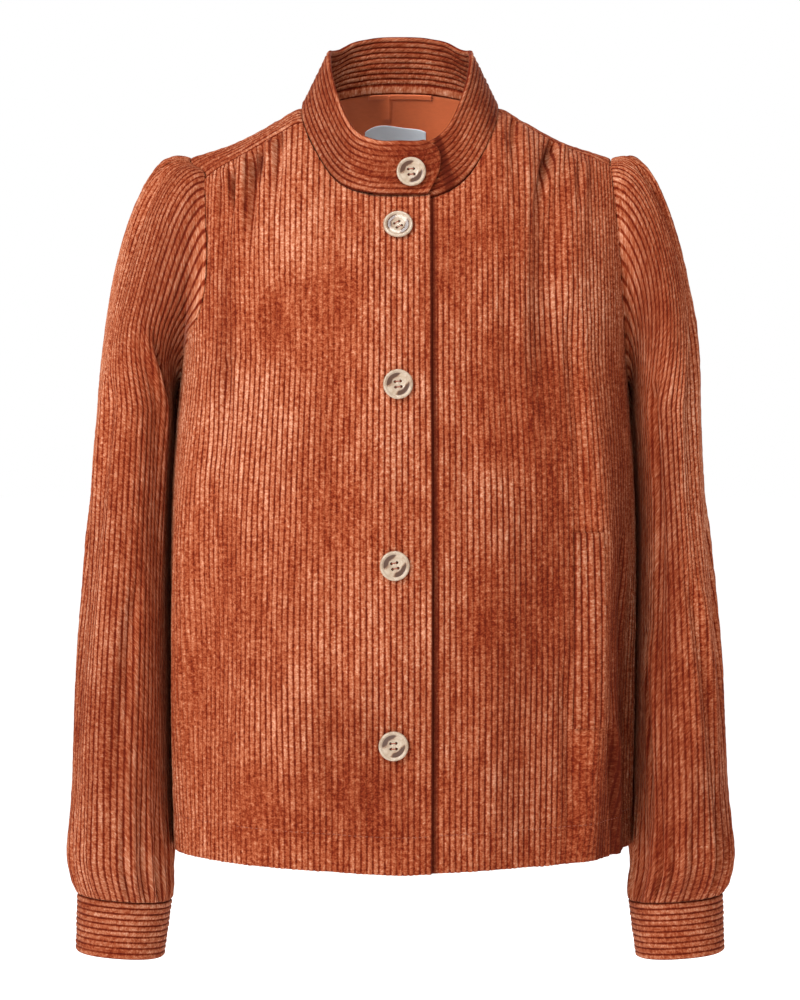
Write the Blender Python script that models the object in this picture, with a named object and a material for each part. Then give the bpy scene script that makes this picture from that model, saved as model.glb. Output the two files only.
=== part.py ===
"""Corduroy jacket with a stand collar, in the shape it takes on a wearer, with nobody in it.

Metres, +Z up. The front faces -Y and the wearer's left is +X. The origin is the middle of the neck, level
with the shoulder seams' neck ends, where the wearer's shoulders carry the jacket.

The body is one smooth surface, read at (arc, climb): arc runs round the body from the centre line, and climb
runs up from the hem and then winds back over the shoulder. Every panel is a wall of cloth on its own part of
that surface, cut at the seams. The wales of the corduroy are raised in the outer points of each wall, and the
inner side is plain.
"""

import math
from collections import namedtuple

import bmesh
import bpy
import numpy as np
from mathutils import Matrix, Vector

# ---------------------------------------------------------------- driving sizes
WALE = 0.0046  # from one rib of the corduroy to the next
RIB = 0.0008  # height of a rib over its groove
CLOTH = 0.0020  # corduroy without its ribs
LINING = 0.0010
SEAM_GAP = 0.0003  # between pieces at a seam
SIDE_GAP = 0.0006  # each panel stops this far short of the side seam
HEM = -0.605  # height of the hem at the centre front
HEM_RISE = {"front": 0.0115, "back": 0.0035}  # how far it rises from the centre to the side seams
BACK_HEM_LIFT = 0.0080
ARMHOLE_BASE = -0.200  # height where the sections end and the shoulder arch begins
UNDERARM = -0.214  # lowest point of the armhole
OVERLAP = 0.025  # of each front past the centre line
OVERLAP_LIFT = 0.0038  # of the upper front over the lower one
OVERLAP_EASE = 0.030  # width over which the upper front rises to that lift
OVERLAP_CLEAR = 0.002  # it is fully lifted this far before the lower front's edge
BODY_ROUNDNESS = 2.5  # exponent of the body's sections: 2 is an ellipse, more is boxier
ARCH_ROUNDNESS = {"front": 1.75, "back": 2.2}  # the same for the arch over the shoulder
ARCH_SCALE = 0.12  # climb for each radian of the arch
RIDGE_Y = 0.005  # the shoulder ridge lies this far behind the origin
NECK_HALF = 0.079  # the neck seam, seen from above
NECK_MIDDLE_Y = -0.005
NECK_FRONT = 0.0765
NECK_BACK = 0.062
NECK_ROUNDNESS = 2.6

RIGHT, LEFT = -1, 1  # the wearer's sides, as signs of X
NORMAL_STEP = 1e-4  # between the places on a surface from which its outward direction is read
NORMAL_DIP = 0.004  # a panel's outward direction is read this far below the place itself
NORMAL_INSET = 0.015  # and a sleeve's at least this drop from its ends

# The body's sections below the armholes: half widths on the wearer's right and left, and depths
Section = namedtuple("Section", "height right left front back")
BODY_SECTIONS = (
    Section(-0.605, 0.1835, 0.1875, 0.122, 0.100),
    Section(-0.450, 0.1850, 0.1905, 0.127, 0.096),
    Section(-0.300, 0.1840, 0.1895, 0.127, 0.098),
    Section(-0.200, 0.1760, 0.1830, 0.121, 0.106),
)
REFERENCE = BODY_SECTIONS[2]  # the section round which the wales are spaced

# Heights of the shoulder arch's top; the neck opening cuts away its middle
Ridge = namedtuple("Ridge", "x front back")
SHOULDER_RIDGE = (
    Ridge(-0.034, -0.008, 0.050),  # the mirror of its opposite, so that the arch is level in the middle
    Ridge(0.000, -0.008, 0.056),
    Ridge(0.034, -0.008, 0.050),
    Ridge(0.055, -0.003, 0.036),
    Ridge(0.070, 0.005, 0.018),
    Ridge(0.080, 0.006, 0.007),
    Ridge(0.099, -0.004, -0.004),
    Ridge(0.131, -0.021, -0.021),
    Ridge(0.175, -0.036, -0.036),
    Ridge(0.195, -0.044, -0.044),
)

# Where each shoulder's yoke is seamed to front and back, as Y at its neck end and at its armhole end, and how
# far out the armhole lies: at the front seam, at the ridge and at the back seam
Yoke = namedtuple("Yoke", "front_neck front_arm back_neck back_arm arm_front arm_ridge arm_back")
YOKES = {
    RIGHT: Yoke(-0.030, -0.026, 0.034, 0.028, 0.157, 0.171, 0.165),
    LEFT: Yoke(-0.012, -0.009, 0.040, 0.034, 0.171, 0.173, 0.169),
}
YOKE_WALES = {RIGHT: 13, LEFT: 10}
YOKE_STEPS = 8  # along the shoulder
YOKE_CROWDING = 1.2  # above 1 the steps are closer together where the shoulder rounds off
YOKE_NECK_GAP = 0.0008

FOLD_FADE = 0.030  # folds die out this far below the seam that holds them
# Soft folds and tucks: middle and half size along arc and climb, lean, and depth (outwards is positive)
Fold = namedtuple("Fold", "arc climb half_arc half_climb lean depth")
FRONT_FOLDS = (
    Fold(-0.152, -0.090, 0.011, 0.075, 0.00, -0.0040),
    Fold(-0.128, -0.080, 0.011, 0.080, 0.00, -0.0040),
    Fold(-0.104, -0.070, 0.011, 0.070, 0.00, -0.0035),
    Fold(0.124, -0.120, 0.020, 0.150, 0.10, -0.0070),
    Fold(0.152, -0.100, 0.018, 0.110, 0.05, 0.0025),
    Fold(0.096, -0.060, 0.012, 0.070, 0.00, -0.0030),
    Fold(0.160, -0.440, 0.022, 0.260, 0.03, 0.0090),
    Fold(0.215, -0.480, 0.030, 0.200, -0.05, -0.0100),
    Fold(0.100, -0.500, 0.030, 0.220, 0.04, -0.0040),
    Fold(-0.195, -0.430, 0.028, 0.230, 0.06, 0.0070),
    Fold(-0.150, -0.440, 0.030, 0.240, 0.02, -0.0040),
    Fold(-0.075, -0.400, 0.035, 0.260, 0.01, 0.0030),
)
BACK_FOLDS = (
    Fold(-0.165, -0.420, 0.026, 0.240, 0.04, 0.0080),
    Fold(-0.105, -0.380, 0.028, 0.260, -0.03, -0.0070),
    Fold(-0.040, -0.430, 0.030, 0.240, 0.02, 0.0040),
    Fold(0.035, -0.400, 0.026, 0.230, -0.02, -0.0050),
    Fold(0.100, -0.430, 0.030, 0.250, 0.03, 0.0060),
    Fold(0.170, -0.400, 0.028, 0.230, -0.04, -0.0080),
    Fold(-0.130, -0.060, 0.012, 0.060, 0.00, -0.0030),
    Fold(0.135, -0.060, 0.012, 0.060, 0.00, -0.0030),
)

# The sleeve below the armhole: X of its side next to the body on the wearer's right and left, X of its outer
# side, its middle and half depth, and the tilt of the ring
Ring = namedtuple("Ring", "height inner_right inner_left outer middle_y half_depth tilt")
SLEEVE_RINGS = (
    Ring(-0.6354, 0.1880, 0.1880, 0.2615, -0.018, 0.0385, 0.080),
    Ring(-0.6080, 0.1888, 0.1926, 0.2675, -0.017, 0.0580, 0.072),
    Ring(-0.5800, 0.1892, 0.1936, 0.2675, -0.015, 0.0620, 0.060),
    Ring(-0.4600, 0.1904, 0.1960, 0.2610, -0.006, 0.0660, 0.040),
    Ring(-0.3190, 0.1898, 0.1958, 0.2495, 0.001, 0.0680, 0.015),
    Ring(-0.2400, 0.1866, 0.1926, 0.2450, 0.003, 0.0670, 0.000),
)
SLEEVE_WALES = 74
SLEEVE_INNER_STEP = 4
SLEEVE_ROUNDNESS = 2.2
SLEEVE_DROPS = np.array([0.0, 0.15, 0.40, 0.75, 1.2, 1.93, 2.0])  # 0 to 1 is the head, and 1 to 2 the arm
CAP_SKEW = 0.35  # how much faster the cap's edge climbs at the front and back of the armhole
GATHERS = 20  # small waves where the sleeve is gathered into its cuff
GATHER_DEPTH = 0.0016
GATHER_START, GATHER_FULL = 1.84, 1.97  # drops between which they grow
PUFFS = 38  # small waves along the top of the sleeve's head, if they went all round
PUFF_DEPTH = 0.0015
PUFF_DROP = 0.25  # the drop where they are deepest, and the reach on either side of it

# How the head leaves the armhole and meets the arm: a length at the underarm, and what the top adds to it
Change = namedtuple("Change", "base at_top")
HEAD_CLEAR = Change(0.0031, -0.0009)  # out from the armhole's edge
HEAD_OUT = Change(0.006, 0.030)  # further out, to the curve's first handle
HEAD_FORWARD = 0.010  # of that handle at the front; as far back at the back
HEAD_UP = 0.017  # of that handle at the top
HEAD_DOWN = Change(0.008, 0.112)  # from the second handle down to the arm
HEAD_IN = 0.0030  # of that handle at the top

CUFF_RINGS = (
    Ring(-0.6815, 0.1940, 0.1940, 0.2625, -0.021, 0.0362, 0.080),
    Ring(-0.6359, 0.1880, 0.1880, 0.2615, -0.018, 0.0385, 0.080),
)
CUFF_WALES = 10
CUFF_SIDES = 14

COLLAR_WALES = 10
COLLAR_END_LEFT = 0.0220
COLLAR_CORNER = 0.009  # of the lower end
COLLAR_STEPS = 30
COLLAR_INNER_STEP = 4
COLLAR_SAG = 0.0005  # room for its straight stretches between points
OVER_THE_CHEST = np.array([0.0, -1.0, 0.60])  # the way in which the upper front's neck edge is lifted
NeckRing = namedtuple("NeckRing", "half_width middle_y front back")
NECK_SEAM = NeckRing(NECK_HALF, NECK_MIDDLE_Y, NECK_FRONT, NECK_BACK)
COLLAR_TOP = NeckRing(0.057, -0.009, 0.067, 0.060)
CollarRise = namedtuple("CollarRise", "turn rise")
COLLAR_RISE = (  # height of the stand at turns round the neck from the centre front, in quarter turns
    CollarRise(0.0, 0.0430),
    CollarRise(0.6, 0.0400),
    CollarRise(1.0, 0.0440),
    CollarRise(2.0, 0.0430),
)

CollarEnd = namedtuple("CollarEnd", "rise length")
COLLAR_TAB = (  # how far past the centre line the upper, rounded end lies, from the seam up to the top edge
    CollarEnd(0.00, 0.0222),
    CollarEnd(0.18, 0.0290),
    CollarEnd(0.35, 0.0348),
    CollarEnd(0.52, 0.0382),
    CollarEnd(0.70, 0.0388),
    CollarEnd(0.86, 0.0352),
    CollarEnd(1.00, 0.0265),
)

Ledge = namedtuple("Ledge", "radius height")
BUTTON_LEDGES = (  # from the edge of a button's flat back over its rim to its dish
    Ledge(0.0094, 0.0000),
    Ledge(0.0117, 0.0015),
    Ledge(0.0111, 0.0034),
    Ledge(0.0095, 0.0023),
)
EDGE = BUTTON_LEDGES[0].radius
BUTTON_SIDES = 12
BUTTON_HOLE = 0.0011  # radius
BUTTON_HOLE_SIDES = 6
BUTTON_HOLE_SPREAD = 0.0031  # of the holes from the middle
BUTTON_HOLE_DEPTH = 0.0136  # of the cutters, well past both faces
ButtonPlace = namedtuple("ButtonPlace", "name arc height turn")
BUTTONS = (  # on the upper front; turn is how far its holes are turned
    ButtonPlace("button_2", -0.0015, -0.0975, 0.50),
    ButtonPlace("button_3", -0.0015, -0.2210, 0.12),
    ButtonPlace("button_4", -0.0040, -0.3620, 0.20),
    ButtonPlace("button_5", -0.0050, -0.5025, 0.05),
)
COLLAR_BUTTON_ARC = 0.0099  # past the centre line, on the collar
COLLAR_BUTTON_RISE = 0.405
COLLAR_BUTTON_TURN = 0.1

WELT_WIDTH = 0.0230
WELT_FOOT, WELT_TOP = -0.492, -0.337
WELT_WALES = 5
WELT_THICK = 0.0014
WELT_ARC = 0.151  # middle of the welt, on the wearer's left

# Inside the back neck: half widths, and heights as shares of the way from the lining's foot to the neck seam
LINING_HALF = 0.056
LINING_TOP = 0.97
LABEL_HALF = 0.027
LABEL_TOP, LABEL_FOOT = 0.27, 0.02
LOOP_HALF = 0.028
LOOP_TOP, LOOP_FOOT = 0.985, 0.860
LOOP_THICK = 0.0014

CORDUROY = ("corduroy", (0.42, 0.115, 0.050, 1.0), 0.85)
LINING_CLOTH = ("lining", (0.28, 0.065, 0.025, 1.0), 0.55)
LABEL_CLOTH = ("label", (0.30, 0.33, 0.38, 1.0), 0.60)
HORN = ("button_horn", (0.55, 0.43, 0.29, 1.0), 0.30)


# ---------------------------------------------------------------- curves
def smooth_curve(rows, key, value):
    """A smooth curve through one column of a table against another, its rows in rising order of the key."""
    at = np.array([getattr(row, key) for row in rows])
    values = np.array([getattr(row, value) for row in rows])
    slopes = np.gradient(values, at)

    def read(x):
        x = np.clip(x, at[0], at[-1])
        i = np.clip(np.searchsorted(at, x) - 1, 0, len(at) - 2)
        span = at[i + 1] - at[i]
        t = (x - at[i]) / span
        start = values[i] * (1 + 2 * t) * (1 - t) ** 2 + slopes[i] * span * t * (1 - t) ** 2
        end = values[i + 1] * t * t * (3 - 2 * t) - slopes[i + 1] * span * t * t * (1 - t)
        return start + end

    return read


def smoothstep(x, start, end):
    t = np.clip((x - start) / (end - start), 0, 1)
    return t * t * (3 - 2 * t)


def bump(distance):
    """1 at distance 0, falling softly to 0 at distance 1."""
    return np.where(np.abs(distance) < 1, (1 - np.clip(distance, -1, 1) ** 2) ** 2, 0)


HALF_WIDTH = {
    RIGHT: smooth_curve(BODY_SECTIONS, "height", "right"),
    LEFT: smooth_curve(BODY_SECTIONS, "height", "left"),
}
DEPTH = {face: smooth_curve(BODY_SECTIONS, "height", face) for face in ("front", "back")}
RIDGE_HEIGHT = {face: smooth_curve(SHOULDER_RIDGE, "x", face) for face in ("front", "back")}


def unit_section(half_width, depth):
    """Lengths round a quarter of the body's section from its centre line, and the unit X and depth there."""
    angle = np.linspace(0, math.pi / 2, 1441)
    across = np.sin(angle) ** (2 / BODY_ROUNDNESS)
    deep = np.cos(angle) ** (2 / BODY_ROUNDNESS)
    step = np.hypot(np.diff(across * half_width), np.diff(deep * depth))
    return np.concatenate([[0], np.cumsum(step)]), across, deep


QUARTER = {
    (side, face): unit_section(getattr(REFERENCE, name), getattr(REFERENCE, face))
    for side, name in ((RIGHT, "right"), (LEFT, "left"))
    for face in ("front", "back")
}
SIDE_ARC = {key: lengths[-1] for key, (lengths, _, _) in QUARTER.items()}  # of each side seam


# ---------------------------------------------------------------- the body's surface
def by_side(arc, read):
    return np.where(arc < 0, read(RIGHT), read(LEFT))


def unit_at(face, arc):
    def read(which):
        at = np.abs(arc)
        return by_side(arc, lambda side: np.interp(at, QUARTER[side, face][0], QUARTER[side, face][which]))

    return np.sign(arc) * read(1), read(2)


def facing(face):
    return -1 if face == "front" else 1


def arch_foot(face, arc):
    """X and Y where a wale leaves the sections and enters the shoulder arch."""
    across, deep = unit_at(face, arc)
    x = across * by_side(arc, lambda side: HALF_WIDTH[side](ARMHOLE_BASE))
    return x, facing(face) * deep * DEPTH[face](ARMHOLE_BASE)


def body(face, arc, climb):
    """Points of the body's smooth surface."""
    arc, climb = np.broadcast_arrays(np.asarray(arc, float), np.asarray(climb, float))
    height = np.minimum(climb, ARMHOLE_BASE)
    across, deep = unit_at(face, arc)
    x = across * by_side(arc, lambda side: HALF_WIDTH[side](height))
    y = facing(face) * deep * DEPTH[face](height)
    turn = np.clip((climb - ARMHOLE_BASE) / ARCH_SCALE, 0, math.pi / 2)
    power = 2 / ARCH_ROUNDNESS[face]
    y = RIDGE_Y + (y - RIDGE_Y) * np.cos(turn) ** power
    rise = RIDGE_HEIGHT[face](np.abs(x)) - ARMHOLE_BASE
    z = height + rise * np.sin(turn) ** power
    return np.stack([x, y, z], axis=-1)


def climb_at_y(face, arc, y):
    """The climb at which a wale on the arch reaches a given Y."""
    foot_y = arch_foot(face, arc)[1]
    share = np.clip((y - RIDGE_Y) / (foot_y - RIDGE_Y), 0, 1)
    return ARMHOLE_BASE + ARCH_SCALE * np.arccos(share ** (ARCH_ROUNDNESS[face] / 2))


def climb_at_height(face, arc, height):
    """The climb at which a wale reaches a given height."""
    x = arch_foot(face, arc)[0]
    rise = RIDGE_HEIGHT[face](np.abs(x)) - ARMHOLE_BASE
    share = np.clip((height - ARMHOLE_BASE) / rise, 0, 1)
    on_arch = ARMHOLE_BASE + ARCH_SCALE * np.arcsin(share ** (ARCH_ROUNDNESS[face] / 2))
    return np.where(height < ARMHOLE_BASE, height, on_arch)


def arc_at_x(face, side, x):
    """The arc of the wale that enters the arch at X."""
    lengths, across, _ = QUARTER[side, face]
    return side * np.interp(abs(x) / HALF_WIDTH[side](ARMHOLE_BASE), across, lengths)


def neck_y(face, x):
    radius = NECK_FRONT if face == "front" else NECK_BACK
    inside = np.clip(1 - (np.abs(x) / NECK_HALF) ** NECK_ROUNDNESS, 0, 1)
    return NECK_MIDDLE_Y + facing(face) * radius * inside ** (1 / NECK_ROUNDNESS)


def neck_x(y):
    radius = np.where(y < NECK_MIDDLE_Y, NECK_FRONT, NECK_BACK)
    inside = np.clip(1 - (np.abs(y - NECK_MIDDLE_Y) / radius) ** NECK_ROUNDNESS, 0, 1)
    return NECK_HALF * inside ** (1 / NECK_ROUNDNESS)


def yoke_seam_y(face, side, x):
    yoke = YOKES[side]
    if face == "front":
        neck_end, arm_end, arm_x = yoke.front_neck, yoke.front_arm, yoke.arm_front
    else:
        neck_end, arm_end, arm_x = yoke.back_neck, yoke.back_arm, yoke.arm_back
    share = np.clip((np.abs(x) - NECK_HALF) / (arm_x - NECK_HALF), 0, 1)
    return neck_end + (arm_end - neck_end) * share


def armhole_start(face, side):
    """The arc of the wale at the armhole's edge where the panel meets the yoke, and the height there."""
    yoke = YOKES[side]
    arc = arc_at_x(face, side, yoke.arm_front if face == "front" else yoke.arm_back)
    climb = climb_at_y(face, arc, yoke_seam_y(face, side, abs(arch_foot(face, arc)[0])))
    return arc, float(body(face, arc, climb)[..., 2])


ARMHOLE_FALL = 2.4  # how fast the armhole's edge falls from the shoulder; it ends level at the underarm
ARMHOLE_START = {
    (face, side): armhole_start(face, side) for face in ("front", "back") for side in (RIGHT, LEFT)
}


def armhole_height(face, side, arc):
    start, top = ARMHOLE_START[face, side]
    share = np.clip((np.abs(arc) - abs(start)) / (SIDE_ARC[side, face] - abs(start)), 0, 1)
    return top + (UNDERARM - top) * (1 - (1 - share) ** ARMHOLE_FALL)


def top_climb(face, arc):
    """The climb at which a wale of the front or back ends, at the neck, the yoke's seam or the armhole."""
    x = arch_foot(face, arc)[0]
    ends = []
    for side in (RIGHT, LEFT):
        seam = yoke_seam_y(face, side, x)
        edge = np.where(np.abs(x) < NECK_HALF, np.abs(neck_y(face, x)), 0)
        neck_or_yoke = facing(face) * np.maximum(edge, np.abs(seam))
        climb = climb_at_y(face, arc, neck_or_yoke)
        below = climb_at_height(face, arc, armhole_height(face, side, arc))
        past_start = np.abs(arc) > abs(ARMHOLE_START[face, side][0])
        ends.append(np.where(past_start, np.minimum(below, climb), climb))
    return np.where(arc < 0, ends[0], ends[1])


def fold_depth(folds, arc, climb):
    depth = 0
    for fold in folds:
        off_arc = (arc - fold.arc - fold.lean * (climb - fold.climb)) / fold.half_arc
        depth = depth + fold.depth * bump(off_arc) * bump((climb - fold.climb) / fold.half_climb)
    return depth


def lifted(surface, a, b, lift, flip=1):
    """Points of a surface moved out along its normal."""
    along_a = surface(a + NORMAL_STEP, b) - surface(a - NORMAL_STEP, b)
    along_b = surface(a, b + NORMAL_STEP) - surface(a, b - NORMAL_STEP)
    normal = flip * np.cross(along_a, along_b)
    normal /= np.linalg.norm(normal, axis=-1, keepdims=True)
    return surface(a, b) + normal * np.asarray(lift)[..., None]


def body_cloth(face, arc, climb, lift):
    """Points of the front's or back's cloth: the smooth body with its folds, moved out."""
    folds = FRONT_FOLDS if face == "front" else BACK_FOLDS
    inside = climb - NORMAL_DIP
    sewn = smoothstep(top_climb(face, arc) - climb, 0, FOLD_FADE)
    depth = fold_depth(folds, arc, climb) * sewn + lift
    moved = lifted(lambda a, b: body(face, a, b), arc, inside, depth, -facing(face))
    return body(face, arc, climb) + moved - body(face, arc, inside)


def overlap_lift(arc):
    """How far the upper front, the wearer's right, rises over the lower one, and the collar's end with it."""
    return OVERLAP_LIFT * smoothstep(arc, -OVERLAP - OVERLAP_EASE, -OVERLAP - OVERLAP_CLEAR)


# ---------------------------------------------------------------- meshes
def material(look):
    name, colour, roughness = look
    found = bpy.data.materials.get(name)
    if found:
        return found
    made = bpy.data.materials.new(name)
    made.use_nodes = True
    shader = made.node_tree.nodes["Principled BSDF"]
    shader.inputs["Base Color"].default_value = colour
    shader.inputs["Roughness"].default_value = roughness
    shader.inputs["Metallic"].default_value = 0.0
    return made


def add_object(name, points, faces, look):
    mesh = bpy.data.meshes.new(name)
    mesh.from_pydata([tuple(point) for point in points], [], faces)
    shape = bmesh.new()
    shape.from_mesh(mesh)
    bmesh.ops.recalc_face_normals(shape, faces=shape.faces)
    shape.to_mesh(mesh)
    shape.free()
    mesh.materials.append(material(look))
    made = bpy.data.objects.new(name, mesh)
    bpy.context.scene.collection.objects.link(made)
    return made


def halves(points, quad):
    """A quad as two triangles, split along its shorter diagonal."""
    a, b, c, d = quad
    if np.linalg.norm(points[a] - points[c]) < np.linalg.norm(points[b] - points[d]):
        return [(a, b, c), (a, c, d)]
    return [(a, b, d), (b, c, d)]


def rim(outer, inner, over):
    """Triangles between a row of outer point numbers and a coarser row of inner ones.

    over gives, for each inner point, the place in the outer row that it lies under.
    """
    faces = []
    o = i = 0
    while o < len(outer) - 1 or i < len(inner) - 1:
        if i == len(inner) - 1 or (o < len(outer) - 1 and o < (over[i] + over[i + 1]) / 2):
            faces.append((outer[o], outer[o + 1], inner[i]))
            o += 1
        else:
            faces.append((outer[o], inner[i + 1], inner[i]))
            i += 1
    return faces


def wall(name, outer, inner, look, over=None, tube=None):
    """A closed wall of cloth between an outer grid of points and an inner one with fewer columns.

    over gives the outer column that each inner one lies under; without it they are evenly spaced. tube is
    None for an open piece, "rows" where the last row meets the first, "columns" where the last column does.
    """
    rows, columns = outer.shape[:2]
    inner_columns = inner.shape[1]
    points = np.concatenate([outer.reshape(-1, 3), inner.reshape(-1, 3)])

    def outside(i, j):
        return (i % rows) * columns + j % columns

    def inside(i, j):
        return rows * columns + (i % rows) * inner_columns + j % inner_columns

    around_rows, around_columns = tube == "rows", tube == "columns"
    quads = []
    for i in range(rows - 1 + around_rows):
        for j in range(columns - 1 + around_columns):
            quads.append((outside(i, j), outside(i, j + 1), outside(i + 1, j + 1), outside(i + 1, j)))
        for j in range(inner_columns - 1 + around_columns):
            quads.append((inside(i, j), inside(i + 1, j), inside(i + 1, j + 1), inside(i, j + 1)))
        if not around_columns:
            for j, k in ((0, 0), (columns - 1, inner_columns - 1)):
                quads.append((outside(i, j), outside(i + 1, j), inside(i + 1, k), inside(i, k)))
    faces = [half for quad in quads for half in halves(points, quad)]
    if not around_rows:
        for i in (0, rows - 1):
            outer_row = [outside(i, j) for j in range(columns + around_columns)]
            inner_row = [inside(i, j) for j in range(inner_columns + around_columns)]
            evenly = np.linspace(0, len(outer_row) - 1, len(inner_row))
            faces += rim(outer_row, inner_row, evenly if over is None else over)
    return add_object(name, points, faces, look)


def ribs(count):
    """Rib heights over an outer grid's columns: a groove at each even column, a crest at each odd one."""
    return RIB * (np.arange(2 * count + 1) % 2)


# ---------------------------------------------------------------- fronts and back
BODY_ROWS = np.array([0.0, 0.42, 0.72, 0.85, 0.94, 1.0])  # shares of each wale from hem to top
SOFTEN = np.linspace(-0.002, 0.002, 3)  # reach, along the arc, of the softening of the top edge
INNER_STEPS = (8, 6, 4, 2)  # outer columns from one inner column to the next, as far as the shape allows
STRAY = 0.0010  # how far the shape may pass from the straight line between two of them


def panel_arcs(start, end):
    """The arcs of a panel's grooves and crests, a whole number of wales across."""
    return np.linspace(start, end, 2 * round((end - start) / WALE) + 1)


def inner_columns(cloth):
    """Which columns of a grid of cloth its inner side has: few where it is straight, all where it turns."""
    last = cloth.shape[1] - 1

    def stray(start, end):
        share = np.linspace(0, 1, end - start + 1)[:, None]
        line = cloth[:, [start]] * (1 - share) + cloth[:, [end]] * share
        return np.linalg.norm(cloth[:, start : end + 1] - line, axis=-1).max()

    chosen = [0]
    while chosen[-1] < last:
        start = chosen[-1]
        steps = [n for n in INNER_STEPS if start + n <= last and stray(start, start + n) < STRAY]
        chosen += [start + steps[0]] if steps else [start + 1, start + 2]
    return chosen


def hem_climb(face, arc):
    along = np.abs(arc) / by_side(arc, lambda side: SIDE_ARC[side, face])
    return HEM + (BACK_HEM_LIFT if face == "back" else 0.0) + HEM_RISE[face] * along


def soft_top(face, arc):
    """The top edge without its jumps, and never above it: the rows under the edge follow this."""
    lowest = [np.min([top_climb(face, arc + a + b) for a in SOFTEN], axis=0) for b in SOFTEN]
    return np.mean(lowest, axis=0)


def row_climb(face, arc, share):
    """The climb of a row of the panels at a share of the way from the hem to the top edge."""
    hem = hem_climb(face, arc)
    top = np.where(share == 1, top_climb(face, arc), soft_top(face, arc)) - SEAM_GAP
    return hem + (top - hem) * share


def on_front(arc, climb, lift):
    """Points on the front's own straight stretches between its rows, moved out, for a grid of climbs."""
    rows = row_climb("front", arc, BODY_ROWS[:, None])
    points = body_cloth("front", np.broadcast_to(arc, rows.shape), rows, np.broadcast_to(lift, rows.shape))
    columns = [
        [np.interp(climb[:, j], rows[:, j], points[:, j, k]) for k in range(3)] for j in range(len(arc))
    ]
    return np.array(columns).transpose(2, 0, 1)


def smooth_panel(face, arc):
    climb = row_climb(face, arc, BODY_ROWS[:, None])
    return body_cloth(face, np.broadcast_to(arc, climb.shape), climb, 0)


def body_panel(name, face, arc, extra_lift):
    """A front or back: ribbed outside, plain inside."""
    climb = row_climb(face, arc, BODY_ROWS[:, None])
    arcs = np.broadcast_to(arc, climb.shape)
    extra = extra_lift(arcs)
    outer = body_cloth(face, arcs, climb, CLOTH / 2 + ribs(len(arc) // 2) + extra)
    columns = inner_columns(smooth_panel(face, arc))
    inner = body_cloth(face, arcs[:, columns], climb[:, columns], -CLOTH / 2 + extra[:, columns])
    return wall(name, outer, inner, CORDUROY, over=columns)


BACK_ARCS = panel_arcs(-SIDE_ARC[RIGHT, "back"] + SIDE_GAP, SIDE_ARC[LEFT, "back"] - SIDE_GAP)


def fronts_and_back():
    right = panel_arcs(-SIDE_ARC[RIGHT, "front"] + SIDE_GAP, OVERLAP)
    left = panel_arcs(-OVERLAP, SIDE_ARC[LEFT, "front"] - SIDE_GAP)
    body_panel("front_right", "front", right, overlap_lift)
    body_panel("front_left", "front", left, np.zeros_like)
    body_panel("back", "back", BACK_ARCS, np.zeros_like)


# ---------------------------------------------------------------- shoulder yokes
def surface_at(x, y):
    """A point of the shoulder arch from its X and Y."""
    face_points = []
    for face in ("front", "back"):
        side_points = []
        for side in (RIGHT, LEFT):
            lengths, across, _ = QUARTER[side, face]
            arc = side * np.interp(np.abs(x) / HALF_WIDTH[side](ARMHOLE_BASE), across, lengths)
            side_points.append(body(face, arc, climb_at_y(face, arc, y)))
        face_points.append(np.where((x < 0)[..., None], side_points[0], side_points[1]))
    return np.where((y < RIDGE_Y)[..., None], face_points[0], face_points[1])


def yoke_xy(side, along, across):
    """X and Y on a yoke: along runs from neck to armhole, and across from its front seam to its back seam."""
    yoke = YOKES[side]
    front = yoke.front_neck + (yoke.front_arm - yoke.front_neck) * along + SEAM_GAP
    back = yoke.back_neck + (yoke.back_arm - yoke.back_neck) * along - SEAM_GAP
    y = front + (back - front) * across
    neck_end = neck_x(yoke.front_neck + (yoke.back_neck - yoke.front_neck) * across) + YOKE_NECK_GAP
    edge = np.where(across < 0.5, yoke.arm_front, yoke.arm_back)
    arm_end = edge + (yoke.arm_ridge - edge) * bump(2 * across - 1)
    return side * (neck_end + (arm_end - neck_end) * along), y


def yoke_surface(side):
    def surface(along, across):
        return surface_at(*yoke_xy(side, along, across))

    return surface


def yokes():
    for side, name in ((RIGHT, "yoke_right"), (LEFT, "yoke_left")):
        wales = YOKE_WALES[side]
        steps = 1 - np.linspace(1, 0, YOKE_STEPS + 1) ** YOKE_CROWDING
        along, across = np.meshgrid(steps, np.linspace(0, 1, 2 * wales + 1), indexing="ij")
        surface = yoke_surface(side)
        outer = lifted(surface, along, across, CLOTH / 2 + np.broadcast_to(ribs(wales), across.shape), side)
        few_along, few_across = along[:, ::2], across[:, ::2]
        inner = lifted(surface, few_along, few_across, np.full(few_across.shape, -CLOTH / 2), side)
        wall(name, outer, inner, CORDUROY)


# ---------------------------------------------------------------- sleeves
FINE = 480  # steps of curves that are read between their points


def lengths_along(points):
    """How far along a line of points each one lies."""
    return np.concatenate([[0], np.cumsum(np.linalg.norm(np.diff(points, axis=0), axis=1))])


def armhole_loop(side):
    """The armhole's edge, evenly spaced from the underarm up the front, over the yoke and down the back."""
    edges = {}
    for face in ("front", "back"):
        arc = side * np.linspace(SIDE_ARC[side, face], abs(ARMHOLE_START[face, side][0]), FINE)
        edges[face] = body(face, arc, climb_at_height(face, arc, armhole_height(face, side, arc)))
    across = np.linspace(0, 1, FINE)
    over_yoke = surface_at(*yoke_xy(side, np.ones_like(across), across))
    points = np.concatenate([edges["front"], over_yoke, edges["back"][::-1]])
    length = lengths_along(points)
    place = np.linspace(0, length[-1], FINE + 1)
    return np.stack([np.interp(place, length, points[:, k]) for k in range(3)], axis=-1)


SLEEVE_READ = {name: smooth_curve(SLEEVE_RINGS, "height", name) for name in Ring._fields[1:]}
SLEEVE_HEAD = SLEEVE_RINGS[-1].height
WRIST = SLEEVE_RINGS[0].height
MIDDLE_RING = (0.033, 0.067)  # half width and half depth of the ring along which the wales are spaced


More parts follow.
